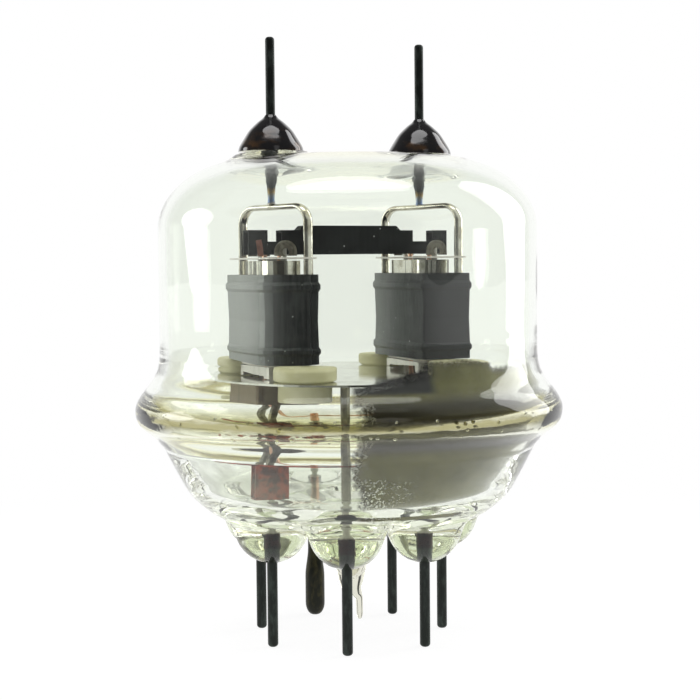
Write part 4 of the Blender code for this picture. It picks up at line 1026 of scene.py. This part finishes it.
@dataclass
class Envelope:
    """The blown bulb, the pressed base with its seven beads, and the film that the getter left.

    Rings are the radii in millimetres of the fine mesh round a feature. Rows hold millimetres too:
    (out, up) from the throat inside the flare, and (radius, height, lean) down the exhaust tip, whose
    lean goes from 0 at the root to 1 at the end. The flange's and the bowl's rows are shares.
    """

    radius: float = 25.2 * MM
    wall: float = 1.1 * MM
    wall_step: float = 3.4 * MM
    crown: float = 64.0 * MM
    dome: float = 0.3 * MM
    shoulder_across: float = 13.0 * MM
    shoulder_down: float = 9.3 * MM
    crown_edge: float = 19.0 * MM
    boss_radius: float = 4.5 * MM
    boss_rise: float = 0.55 * MM
    boss_fillet: float = 1.2 * MM
    boss_rings: Row = (0.9, 1.8, 2.7, 3.5, 4.1, 4.5, 4.8, 5.1, 5.4, 5.7, 6.0)
    button_reach: float = 4.16 * MM
    button_drop: float = 0.8 * MM
    button_rings: Row = (0.6, 1.2, 1.8, 2.4, 3.0, 3.6, 4.2)
    flange_radius: float = 28.5 * MM
    seam: float = 30.8 * MM
    flange_upper: Rows = ((0.0, 1.0), (0.12, 0.72), (0.5, 0.44), (0.86, 0.2), (1.0, 0.0))
    flange_lower: Rows = ((0.88, 0.37), (0.36, 0.7), (0.0, 1.0))
    flange_steps: int = 7
    flare_start: float = 37.9 * MM
    flare_rows: Rows = ((1.2, 2.5), (2.8, 4.3), (3.3, 5.3), (2.9, 6.6), (1.6, 8.4), (0.85, 10.4))
    bowl_top: float = 26.0 * MM
    bowl_radius: float = 24.9 * MM
    bowl_wall: float = 1.5 * MM
    bowl_shape: Rows = ((0.0, 0.0), (0.33, 0.46), (0.57, 0.73), (1.0, 1.0))
    bowl_steps: int = 10
    corner_steps: int = 12
    floor_radius: float = 18.2 * MM
    floor: float = 16.7 * MM
    floor_thickness: float = 2.0 * MM
    corner_blend: float = 0.8 * MM
    bead_radius: float = 4.9 * MM
    bead_centre: float = 16.0 * MM
    bead_blend: float = 1.7 * MM
    march_steps: int = 90
    march_pace: float = 0.7
    bead_rings: Row = (
        *(0.8, 1.6, 2.4, 3.0, 3.5, 3.9, 4.2, 4.45),
        *(4.65, 4.8, 4.95, 5.1, 5.3, 5.6, 6.0, 6.5),
    )
    mound_rise: float = 0.35 * MM
    mound_radius: float = 2.6 * MM
    mound_rings: Row = (0.5, 1.0, 1.6, 2.2, 2.9, 3.6)
    tip_root: float = 3.9 * MM
    tip_lean: float = 1.3 * MM
    tip_low_edge: float = 12.5 * MM
    tip_rows: Rows = (
        *((3.9, 16.7, 0.0), (3.35, 16.0, 0.0), (3.1, 14.0, 0.0), (2.7, 11.6, 0.0), (2.15, 9.0, 0.0)),
        *((1.85, 7.5, 0.0), (1.5, 6.3, 0.05), (1.15, 5.65, 0.3), (0.8, 5.2, 0.62), (0.58, 4.8, 0.86)),
        *((0.47, 4.2, 0.97), (0.42, 2.4, 1.0), (0.2, 1.82, 1.0)),
    )
    hollow_rows: Rows = (
        *((2.6, 18.7, 0.0), (2.35, 18.0, 0.0), (2.1, 15.0, 0.0), (1.8, 11.6, 0.0)),
        *((1.3, 8.8, 0.0), (0.6, 7.7, 0.0), (0.1, 7.4, 0.0)),
    )
    facets: int = 256
    tip_facets: int = 48
    sharp: float = 75.0
    film_gap: float = 0.05 * MM
    film_low: float = 19.0 * MM
    film_high: float = 38.4 * MM
    film_start: float = -4.0
    film_span: float = 84.0
    film_columns: int = 96
    film_rows: int = 64
    haze_high: float = 27.5 * MM
    haze_rows: int = 24

    def bosses(self) -> Profile:
        """The two anode leads in plan."""
        return [(side.value * UNIT_OFFSET, 0.0) for side in Side]

    def shoulder(self, inset: float, start: float, steps: int) -> Profile:
        """The round of the bulb from a radius on its crown to its side.

        Args:
            inset: Distance in from the outer skin.
            start: Radius at which the profile starts.
            steps: Parts along the round.

        Returns:
            (radius, height) points.
        """
        flat = self.radius - self.shoulder_across
        across = self.shoulder_across - inset
        down = self.shoulder_down - inset
        first = math.asin((start - flat) / across)
        turns = [first + (math.pi / 2 - first) * i / steps for i in range(steps + 1)]
        base = self.crown - self.shoulder_down
        return [(flat + across * math.sin(turn), base + down * math.cos(turn)) for turn in turns]

    def side(self, radius: float, count: int) -> Profile:
        """Points down the bulb's straight side, below its shoulder."""
        return [(radius, self.crown - self.shoulder_down - i * self.wall_step) for i in range(1, count + 1)]

    def crown_height(self, inset: float) -> Height:
        """The crown with its bosses outside, or with a thicker glass button round each lead inside.

        Args:
            inset: Distance in from the outer skin, or 0 for that skin.

        Returns:
            A function that gives heights for arrays of x and y.
        """

        def height(x: np.ndarray, y: np.ndarray) -> np.ndarray:
            """The crown's height at each x and y in plan."""
            reach = np.hypot(x, y)
            flat = self.radius - self.shoulder_across
            out = np.clip((reach - flat) / (self.shoulder_across - inset), 0, 1)
            level = self.crown - self.shoulder_down + (self.shoulder_down - inset) * np.sqrt(1 - out**2)
            level = level + self.dome * (1 - np.clip(reach / flat, 0, 1) ** 2) ** 2
            for middle in self.bosses():
                apart = np.hypot(x - middle[0], y - middle[1])
                if inset:
                    level = level - self.button_drop * ease(1 - apart / self.button_reach)
                else:
                    outside = self.boss_radius + self.boss_fillet - apart
                    level = level + self.boss_rise * ease(outside / self.boss_fillet)
            return level

        return height

    def bowl_side(self, inset: float, steps: int) -> Profile:
        """The bowl's side from its top to the edge of its floor.

        Args:
            inset: Distance in from the outer skin.
            steps: Parts in each of the three spans of the curve.

        Returns:
            (radius, height) points.
        """
        top = self.bowl_top
        reach = self.floor_radius - self.bowl_radius
        drop = self.floor - top + inset
        start = self.bowl_radius
        points = [(start + reach * out - inset, top + drop * down) for out, down in self.bowl_shape]
        return [tuple(point) for point in smooth_line(points, steps)]

    def bowl(self, inset: float) -> Profile:
        """The first two spans of the bowl's side, above the fine mesh of its floor."""
        return self.bowl_side(inset, self.bowl_steps)[: 2 * self.bowl_steps + 1]

    def flange(self) -> Profile:
        """The rolled flange, from the bulb's side round to the top of the bowl."""
        out = self.flange_radius - self.radius
        rise = self.flare_start - self.seam
        back = self.flange_radius - self.bowl_radius
        drop = self.seam - self.bowl_top
        low = self.bowl_radius
        points = [(self.radius + out * part, self.seam + rise * up) for part, up in self.flange_upper]
        points += [(low + back * part, self.seam - drop * down) for part, down in self.flange_lower]
        curve = smooth_line(points, self.flange_steps)
        curve[:, 0] = np.minimum(curve[:, 0], self.flange_radius)
        return [tuple(point) for point in curve]

    def base_height(self, inset: float, reach: np.ndarray) -> np.ndarray:
        """Height of the bowl's floor and side, with a soft corner between them.

        Args:
            inset: Distance in from the outer skin, or 0 for that skin.
            reach: Distances from the axis.

        Returns:
            The heights.
        """
        side = np.array(self.bowl_side(inset, self.corner_steps))[::-1]
        slope = (side[1] - side[0])[1] / (side[1] - side[0])[0]
        floor = self.floor + (self.floor_thickness if inset else 0.0)
        wall = np.interp(reach, side[:, 0], side[:, 1])
        wall = np.where(reach < side[0, 0], side[0, 1] + (reach - side[0, 0]) * slope, wall)
        return soft_lower(floor, wall, -self.corner_blend)

    def underside(self, x: np.ndarray, y: np.ndarray) -> np.ndarray:
        """The base's outer skin: its floor with the seven beads melted into it.

        Args:
            x: Places along X.
            y: Places along Y.

        Returns:
            The lowest height of the glass at each place.
        """
        base = self.base_height(0.0, np.hypot(x, y))
        level = np.full_like(x, self.bead_centre - 2 * self.bead_radius)
        for _ in range(self.march_steps):
            distance = self.march_pace * (base - level)
            for middle in pin_places():
                offsets = (x - middle[0], y - middle[1], level - self.bead_centre)
                bead = np.sqrt(sum(part**2 for part in offsets)) - self.bead_radius
                distance = soft_lower(bead, distance, self.bead_blend)
            level = np.minimum(level + distance, base)
        return level

    def inside_floor(self, x: np.ndarray, y: np.ndarray) -> np.ndarray:
        """The base's inner skin: a flat floor with a low mound round each lead.

        Args:
            x: Places along X.
            y: Places along Y.

        Returns:
            The height of the skin at each place.
        """
        level = self.base_height(self.bowl_wall, np.hypot(x, y))
        for middle in pin_places():
            apart = np.hypot(x - middle[0], y - middle[1])
            level = level + self.mound_rise * np.exp(-((apart / self.mound_radius) ** 2))
        return level

    def spout(self, rows: Rows) -> list[np.ndarray]:
        """Rings down the exhaust tip or its hollow."""
        rings = []
        for radius, height, lean in smooth_line(rows, 5):
            plan = ring(radius * MM, self.tip_facets, (self.tip_lean * lean, 0.0))
            rings.append(np.column_stack((plan, np.full(self.tip_facets, height * MM))))
        return rings

    def skin(self, inset: float) -> Skin:
        """The envelope's outer skin, or the skin of its hollow.

        Args:
            inset: The wall's thickness for the hollow, or 0 for the outer skin.

        Returns:
            A closed mesh that faces away from the glass.
        """
        skin = Skin()
        edge = self.crown_edge - inset
        rings = self.button_rings if inset else self.boss_rings
        spacing = (1.0 if inset else 0.9) * MM
        skin.relief(edge, self.facets, 0.0, 0, self.bosses(), rings, self.crown_height(inset), spacing)
        bowl = self.bowl(self.bowl_wall if inset else 0.0)
        if inset:
            bulb = self.shoulder(inset, edge, 20) + self.side(self.radius - inset, 3)
            bulb += self.flare_inside()[::-1]
            rows, rings, height, spacing = self.hollow_rows, self.mound_rings, self.inside_floor, 0.9 * MM
        else:
            bulb = self.shoulder(inset, edge, 22) + self.side(self.radius, 4) + self.flange()
            rows, rings, height, spacing = self.tip_rows, self.bead_rings, self.underside, 0.6 * MM
        skin.turn(bulb + bowl[1:], self.facets)
        root = rows[0][0] * MM
        skin.relief(bowl[-1][0], self.facets, root, self.tip_facets, pin_places(), rings, height, spacing)
        skin.loops(self.spout(rows), caps=Caps.LAST)
        return skin.tidy(flip=bool(inset))

    def flare_inside(self) -> Profile:
        """The inside of the flare and the seam, from the bowl's top up to the bulb's straight wall."""
        inner = self.radius - self.wall
        throat = self.bowl_radius - self.bowl_wall
        points = [(throat, self.bowl_top)]
        points += [(throat + out * MM, self.bowl_top + up * MM) for out, up in self.flare_rows]
        points += [(inner, self.flare_start + rise * MM) for rise in (1.8, 3.6)]
        return [tuple(point) for point in smooth_line(points, 6)]

    def build(self) -> None:
        """Builds the glass, the film and the haze."""
        skin = self.skin(0.0).take(self.skin(self.wall)).take(Bubbles().skin())
        glass = skin.piece("glass_envelope", GLASS, self.sharp)
        glass.data.materials.append(TIP_GLASS.material())
        for face in glass.data.polygons:
            reach = math.hypot(face.center.x, face.center.y)
            if face.center.z < self.tip_low_edge and reach < self.tip_root:
                face.material_index = 1
        glass.visible_shadow = False
        glass.visible_diffuse = False
        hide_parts("glass_bulb", "glass_base")
        self.build_film()
        self.build_haze()

    def hollow_radius(self, height: float) -> float:
        """Radius of the hollow's wall at a height in the bowl or the flare."""
        rows = self.bowl_side(self.bowl_wall, self.bowl_steps)[::-1] + self.flare_inside()[1:]
        radii, heights = zip(*rows)
        return float(np.interp(height, heights, radii))

    def build_film(self) -> None:
        """The film on the hollow's wall, with angle and height as its UV."""
        skin = Skin()
        layer = skin.bm.loops.layers.uv.new("UVMap")
        spread = [self.film_span * i / self.film_columns for i in range(self.film_columns + 1)]
        turns = [PHOTO_TURN + math.radians(self.film_start + turn) for turn in spread]
        grid = []
        for height in np.linspace(self.film_low, self.film_high, self.film_rows):
            reach = self.hollow_radius(height) - self.film_gap
            spots = [(reach * math.sin(turn), -reach * math.cos(turn), height) for turn in turns]
            grid.append([skin.bm.verts.new(spot) for spot in spots])
        for low, high in zip(grid, grid[1:]):
            for i in range(self.film_columns):
                face = skin.bm.faces.new((low[i], low[i + 1], high[i + 1], high[i]))
                for loop, column in zip(face.loops, (i, i + 1, i + 1, i)):
                    up = (loop.vert.co.z - self.film_low) / (self.film_high - self.film_low)
                    loop[layer].uv = (column / self.film_columns, up)
        skin.piece("getter_film", MIRROR, self.sharp).visible_shadow = False

    def build_haze(self) -> None:
        """The faint bloom inside the bowl, all the way round."""
        heights = np.linspace(self.film_low, self.haze_high, self.haze_rows)
        rows = [(self.hollow_radius(height) - 2 * self.film_gap, height) for height in heights]
        haze = Skin().turn(rows, self.facets).piece("bowl_haze", BLOOM, self.sharp)
        haze.visible_shadow = False
        haze.visible_diffuse = False


# Pins and terminals


@dataclass
class BasePins:
    """The seven pins, each with the part that the glass is sealed to."""

    radius: float = 0.68 * MM
    index_radius: float = 1.36 * MM
    index_neck: float = 0.95 * MM
    index_full: float = 5.5 * MM
    index_top: float = 9.5 * MM
    seal_radius: float = 0.72 * MM
    seal_low: float = 13.9 * MM
    seal_high: float = 16.1 * MM
    cone_top: float = 17.0 * MM
    neck_radius: float = 0.36 * MM
    top: float = 19.6 * MM
    lead_radius: float = 0.6 * MM
    nose_share: float = 0.75
    nose_stretch: float = 0.9
    index_stretch: float = 1.7
    nose_steps: int = 8
    facets: int = 32

    def profile(self, radius: float) -> Profile:
        """The outline of a pin. The index pin has a longer nose and a narrow neck.

        Args:
            radius: The pin's radius.

        Returns:
            (radius, height) points from the pin's tip to its inner end.
        """
        index = radius == self.index_radius
        nose = radius * self.nose_share
        length = nose * (self.index_stretch if index else self.nose_stretch)
        shares = [i / self.nose_steps for i in range(self.nose_steps + 1)]
        rows: Profile = [(0.0, 0.0)]
        for share in shares:
            turn = math.pi / 2 * share
            rows.append((radius - nose + nose * math.sin(turn), length * (1 - math.cos(turn))))
        if index:
            rise = self.index_top - self.index_full
            slim = self.index_neck - radius
            rows += [(radius + slim * ease(share), self.index_full + rise * share) for share in shares]
            radius = self.index_neck
        seal = max(self.seal_radius, radius)
        rows += [
            (radius, self.seal_low - 0.1 * MM),
            (seal, self.seal_low),
            (seal, self.seal_high),
            (self.neck_radius, self.cone_top),
            (self.neck_radius, self.cone_top + 1.0 * MM),
            (self.lead_radius, self.top - 0.6 * MM),
            (self.lead_radius, self.top),
            (0.0, self.top),
        ]
        return rows

    def build(self) -> None:
        """Builds the pins."""
        for number, centre in enumerate(pin_places()):
            node = f"base_pin_{number}" if number else "index_pin"
            radius = self.radius if number else self.index_radius
            finish = OXIDE if number else OLIVE
            skin = Skin().turn(self.profile(radius), self.facets, centre).tidy()
            pin = skin.piece(f"{node}_wire", finish)
            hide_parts(node)


@dataclass
class AnodeTerminal:
    """One anode's way out: glazed seal, pin and lead, and the hoop that carries the anode."""

    side: Side
    rim: float = 64.6 * MM
    dome_radius: float = 4.3 * MM
    dome_height: float = 4.7 * MM
    dome_shape: Rows = (
        *((1.0, 0.0), (0.955, 0.15), (0.8, 0.39), (0.636, 0.61)),
        *((0.41, 0.81), (0.24, 0.93), (0.16, 1.02)),
    )
    dome_steps: int = 6
    pin_radius: float = 0.6 * MM
    pin_top: float = 79.5 * MM
    lead_radius: float = 0.75 * MM
    lead_tip: float = 0.42 * MM
    hoop_top: float = 58.1 * MM
    hoop_bottom: float = 37.7 * MM
    hoop_width: float = 1.45 * MM
    hoop_thickness: float = 0.9 * MM
    hoop_corner: float = 2.4 * MM
    leg_across: float = 2.25 * MM
    leg_along: float = 6.1 * MM
    right_reach: float = 1.06
    right_rise: float = 0.3 * MM
    left_shift: float = 0.4 * MM
    right_shift: float = 0.2 * MM
    crown_inside: float = 61.4 * MM
    nose_share: float = 0.7
    facets: int = 32
    dome_facets: int = 64
    hoop_facets: int = 28
    hoop_steps: int = 10
    leg_steps: int = 8

    @property
    def centre(self) -> Pair:
        """The terminal's axis in plan."""
        return (self.side.value * UNIT_OFFSET, 0.0)

    def build(self) -> None:
        """Builds the terminal's pieces."""
        self.build_seal()
        self.build_pin()
        self.build_hoop()

    def build_seal(self) -> None:
        """The glossy dome, drawn up to a short neck round the pin."""
        points = [(self.dome_radius * out, self.rim + self.dome_height * up) for out, up in self.dome_shape]
        outer = smooth_line(points, self.dome_steps)
        rows = [(0.0, self.rim), *[tuple(row) for row in outer], (0.0, outer[-1][1])]
        skin = Skin().turn(rows, self.dome_facets, self.centre).tidy()
        dome = skin.piece(f"anode_seal_{self.side.label}", SEAL)
        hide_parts(f"anode_cap_{self.side.label}")

    def build_pin(self) -> None:
        """The pin above the seal and the lead below it, as one wire."""
        nose = self.pin_radius * self.nose_share
        rows = [
            (0.0, self.hoop_top - 0.2 * MM),
            (self.lead_tip * 1.3, self.hoop_top),
            (self.lead_tip, self.hoop_top + 0.6 * MM),
            (self.lead_radius * 0.8, self.hoop_top + 2.6 * MM),
            (self.lead_radius, self.crown_inside),
            (self.lead_radius, self.rim + 1 * MM),
            (self.pin_radius, self.rim + 2 * MM),
            (self.pin_radius, self.pin_top - nose),
        ]
        rows += corner(self.pin_radius, self.pin_top, nose)[1:]
        rows.append((0.0, self.pin_top))
        skin = Skin().turn(rows, self.facets, self.centre).tidy()
        pin = skin.piece(f"anode_wire_{self.side.label}", OXIDE)
        pin.data.materials.append(LEAD.material())
        for face in pin.data.polygons:
            if face.center.z < self.crown_inside + 1 * MM:
                face.material_index = 1
        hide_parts(f"anode_pin_{self.side.label}")

    def build_hoop(self) -> None:
        """The flattened wire that goes up one leg, over the top and down the other."""
        right = self.side is Side.RIGHT
        leg = np.array((self.leg_across, -self.leg_along, 0.0)) * (self.right_reach if right else 1.0)
        reach = np.linalg.norm(leg)
        along = leg / reach
        top = self.hoop_top - self.hoop_thickness / 2 + (self.right_rise if right else 0.0)
        shift = self.right_shift if right else self.left_shift
        heights = np.linspace(self.hoop_bottom, top - 1.3 * self.hoop_corner, self.leg_steps)
        path = [leg + (0, 0, height) for height in heights]
        arc = corner(reach, top, self.hoop_corner, steps=self.hoop_steps)
        path += [along * out + (0, 0, height) for out, height in arc]
        path += [along * -out + (0, 0, height) for out, height in arc[::-1]]
        path += [-leg + (0, 0, height) for height in heights[::-1]]
        route = np.array(path) + (self.centre[0] + shift, 0, 0)
        oval = ring(1.0, self.hoop_facets) * (self.hoop_width / 2, self.hoop_thickness / 2)
        square = (self.leg_along, self.leg_across, 0.0)
        hoop = Skin().loops(sweep(route, oval, square), caps=Caps.BOTH).tidy()
        piece = hoop.piece(f"hoop_{self.side.label}", NICKEL)
        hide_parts(f"anode_hoop_{self.side.label}")


# Bushings, copper strip and the pieces that keep their CAD shape


@dataclass
class Bushings:
    """The four ceramic bushings, each a flange on the shield disc and a body through it."""

    along: float = 10.4 * MM
    skew: float = 0.3 * MM
    seat: float = 34.7 * MM
    flange_radius: float = 3.98 * MM
    flange: float = 1.95 * MM
    body_radius: float = 3.4 * MM
    body: float = 2.15 * MM
    bore: float = 0.8 * MM
    soft_edge: float = 0.45 * MM
    facets: int = 72
    sharp: float = 50.0

    def build(self) -> None:
        """Builds the bushings."""
        low = self.seat - self.body
        top = self.seat + self.flange
        for side in Side:
            for end, label in ((-1, "front"), (1, "rear")):
                centre = (side.value * UNIT_OFFSET - end * self.skew, end * self.along)
                rows = [
                    (self.bore, low),
                    *corner(self.body_radius, low, self.soft_edge, below=True),
                    (self.body_radius, self.seat),
                    *corner(self.flange_radius, self.seat, self.soft_edge, below=True),
                    *corner(self.flange_radius, top, self.soft_edge),
                    (self.bore, top),
                ]
                name = f"{label}_{side.label}"
                body = Skin().turn(rows, self.facets, centre, closed=True).tidy()
                piece = body.piece(f"bushing_{name}", CERAMIC, self.sharp)
                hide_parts(f"ceramic_bushing_{name}")


@dataclass
class CopperStrip:
    """The dusty copper strip that leans beside the bridge on the left unit."""

    foot: Triple = (-12.88 * MM, -1.33 * MM, 51.0 * MM)
    head: Triple = (-13.14 * MM, -1.33 * MM, 53.1 * MM)
    width: float = 0.8 * MM
    thickness: float = 0.16 * MM
    bow: float = 0.05 * MM
    steps: int = 8

    def build(self) -> None:
        """Builds the strip."""
        path = []
        for share in np.linspace(0.0, 1.0, self.steps + 1):
            spot = np.array(self.foot) * (1 - share) + np.array(self.head) * share
            path.append(spot + (self.bow * math.sin(share * math.pi), 0, 0))
        across, through = self.width / 2, self.thickness / 2
        soft = through * 0.6
        half = [(across, through - soft), (across - soft, through), (soft - across, through)]
        half.append((-across, through - soft))
        section = np.array(half + [(-x, -y) for x, y in half])
        rings = sweep(np.array(path), section, (1.0, 0.0, 0.0))
        strip = Skin().loops(rings, caps=Caps.BOTH).tidy().piece("copper_strip", DUSTY_COPPER)
        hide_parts("cathode_tab")


@dataclass
class Fittings:
    """Pieces whose CAD shape is right: they keep it and get a finish.

    Each finish has the starts of its pieces' names, and the first that fits counts.
    """

    groups: tuple[tuple[Finish, tuple[str, ...]], ...] = (
        (CARBON, ("anode_left", "anode_right")),
        (BLACK, ("bridge_shield",)),
        (DISC, ("shield_disc",)),
        (SKIRT, ("unit_skirt",)),
        (MICA, ("upper_mica", "lower_mica", "capacitor_mica")),
        (COPPER, ("control_grid", "heater_link", "lead_0")),
        (BAKED_COPPER, ("front_link", "capacitor_clip")),
        (CATHODE_COAT, ("cathode_",)),
        (HEATER_COAT, ("heater_",)),
        (WIRE, ("lead_",)),
        (BEAM, ("beam_plates",)),
        (FOOT, ("screen_grid", "unit_foot", "shield_lug", "getter")),
        (LUG, ("grid_lug",)),
    )

    def dress(self, nodes: dict[str, bpy.types.Object]) -> None:
        """Gives every node that still shows its finish.

        Args:
            nodes: The CAD objects by name.
        """
        for name, obj in nodes.items():
            if obj.hide_render:
                continue
            finish = next(made for made, starts in self.groups if name.startswith(starts))
            obj.data.materials.clear()
            obj.data.materials.append(finish.material())
            LOG.info("%s: %s", name, finish.name)


# Studio


@dataclass(frozen=True)
class Softbox:
    """A lamp placed round the tube as the camera sees it."""

    name: str
    azimuth: float
    elevation: float
    width: float
    height: float
    level: float
    distance: float = 0.6
    aim: float = 0.042

    def build(self) -> None:
        """Builds the lamp, aimed at the middle of the tube."""
        lamp = bpy.data.lights.new(self.name, "AREA")
        lamp.shape = "ELLIPSE"
        lamp.size = self.width
        lamp.size_y = self.height
        lamp.energy = self.level * 4 * self.width * self.height * math.pi / 4
        obj = bpy.data.objects.new(self.name, lamp)
        turn, up = math.radians(self.azimuth), math.radians(self.elevation)
        middle = Vector((0, 0, self.aim))
        flat = self.distance * math.cos(up)
        obj.location = middle + in_photo_frame(
            flat * math.sin(turn), -flat * math.cos(turn), self.distance * math.sin(up)
        )
        obj.rotation_euler = (obj.location - middle).to_track_quat("Z", "Y").to_euler()
        bpy.context.scene.collection.objects.link(obj)


@dataclass
class Studio:
    """Camera, white surroundings, floor and softboxes.

    The edges, white_from and lit_to are the two ends of a smooth step: the edges of the direction's
    share away from the front, the others of the distance from the tube in millimetres.
    """

    lens: float = 81.15
    sensor: float = 36.0
    camera: Triple = (0.0002, -0.2116, 0.0499)
    pitch: float = 0.0545
    roll: float = -0.0092
    ambient: float = 0.42
    dim: float = 0.14
    front_edge: Pair = (-0.9, -0.5)
    back_edge: Pair = (0.55, 0.85)
    floor_radius: float = 4.0
    floor_middle: float = 0.3
    floor_facets: int = 64
    floor_white: float = 0.91
    floor_grey: float = 0.14
    white_from: Pair = (60.0, 140.0)
    lit_to: Pair = (240.0, 90.0)
    softboxes: tuple[Softbox, ...] = (
        Softbox("left softbox", -102.0, 12.0, 0.28, 0.27, 3.0),
        Softbox("right softbox", 119.0, 20.0, 0.3, 0.7, 2.6),
        Softbox("top softbox", 4.0, 82.0, 0.54, 0.28, 2.6),
        Softbox("front fill", 24.0, 34.0, 0.3, 0.3, 0.4, 0.9),
    )

    def build(self) -> None:
        """Builds the studio."""
        self.build_camera()
        self.build_world()
        self.build_floor()
        for softbox in self.softboxes:
            softbox.build()

    def build_camera(self) -> None:
        """The camera at the photograph's height and angle."""
        data = bpy.data.cameras.new("camera")
        data.lens = self.lens
        data.sensor_width = self.sensor
        obj = bpy.data.objects.new("camera", data)
        turn = Matrix.Rotation(PHOTO_TURN, 4, "Z")
        tilt = Matrix.Rotation(math.pi / 2 - self.pitch, 4, "X") @ Matrix.Rotation(self.roll, 4, "Z")
        obj.matrix_world = turn @ Matrix.Translation(self.camera) @ tilt
        bpy.context.scene.collection.objects.link(obj)
        bpy.context.scene.camera = obj

    def away(self, graph: Graph, spot: Signal) -> Signal:
        """How far a place or a direction points away from the front of the studio."""
        return graph.vector("DOT_PRODUCT", "Value", spot, in_photo_frame(0.0, 1.0, 0.0))

    def seen(self, graph: Graph) -> Signal:
        """1 for what is seen, also through glass, unless something on the way mirrors it."""
        unmirrored = graph.math("LESS_THAN", graph.ray("Glossy Depth"), 0.5)
        through = graph.ray("Is Transmission Ray") * unmirrored
        return graph.math("MAXIMUM", graph.ray("Is Camera Ray"), through)

    def build_world(self) -> None:
        """White where it is seen or seen through, dim where the glass mirrors the front."""
        world = bpy.data.worlds.new("studio")
        bpy.context.scene.world = world
        graph = Graph(world)
        graph.tree.nodes.clear()
        graph.tree.nodes.new("ShaderNodeOutputWorld")
        away = self.away(graph, graph.node("ShaderNodeTexCoord", output="Generated"))
        mirrored = graph.glow(away.smooth(*self.back_edge, self.dim))
        passed = graph.glow(away.smooth(*self.front_edge, self.dim))
        lit = graph.blend(graph.ray("Is Glossy Ray"), graph.glow(self.ambient), mirrored)
        lit = graph.blend(graph.ray("Is Transmission Ray"), lit, passed)
        graph.cover(graph.blend(self.seen(graph), lit, graph.glow(1.0)))

    def build_floor(self) -> None:
        """A wide white floor that keeps a soft shadow near the pins."""
        rows = [(radius, 0.0) for radius in (0.0, self.floor_middle, self.floor_radius)]
        skin = Skin().turn(rows, self.floor_facets).tidy()
        floor = bpy.data.objects.new("floor", skin.mesh("floor"))
        bpy.context.scene.collection.objects.link(floor)
        graph = Graph(bpy.data.materials.new("white floor"))
        graph.dress(base_color=(0.8, 0.8, 0.8), roughness=0.9, specular_ior_level=0.0)
        place = graph.place()
        reach = graph.vector("LENGTH", "Value", place)
        grey = 3 * (self.floor_grey,)
        matt = graph.node("ShaderNodeBsdfDiffuse", None, {"Color": grey})
        near = graph.node("ShaderNodeAddShader", None, {0: graph.glow(self.floor_white), 1: matt})
        shown = graph.blend(reach.smooth(*self.white_from), near, graph.glow(1.0))
        facing = graph.math("DIVIDE", self.away(graph, place), reach + 1.0).smooth(*self.front_edge)
        lit = graph.math("MAXIMUM", facing, reach.smooth(*self.lit_to))
        gloss = graph.blend(lit, graph.glow(self.dim), shown)
        mirrored = graph.math("MAXIMUM", graph.ray("Is Glossy Ray"), graph.ray("Is Transmission Ray"))
        plain = Signal(graph, graph.tree.nodes["Principled BSDF"].outputs[0])
        graph.cover(graph.blend(self.seen(graph), graph.blend(mirrored, plain, gloss), shown))
        floor.data.materials.append(graph.owner)


def build_tube(nodes: dict[str, bpy.types.Object]) -> None:
    """Builds the looks of the tube in order.

    Args:
        nodes: The CAD objects by name.
    """
    Envelope().build()
    BasePins().build()
    for side in Side:
        AnodeTerminal(side).build()
    Bushings().build()
    CopperStrip().build()
    Fittings().dress(nodes)


def main() -> None:
    """Loads the frame and builds the tube and the studio."""
    logging.basicConfig(level=logging.INFO, format="%(message)s")
    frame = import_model()
    bpy.context.scene.view_settings.view_transform = "Standard"
    cycles = bpy.context.scene.cycles
    cycles.max_bounces = cycles.glossy_bounces = cycles.transmission_bounces = GLASS_BOUNCES
    build_tube(frame["nodes"])
    Studio().build()


if __name__ == "__main__":
    main()
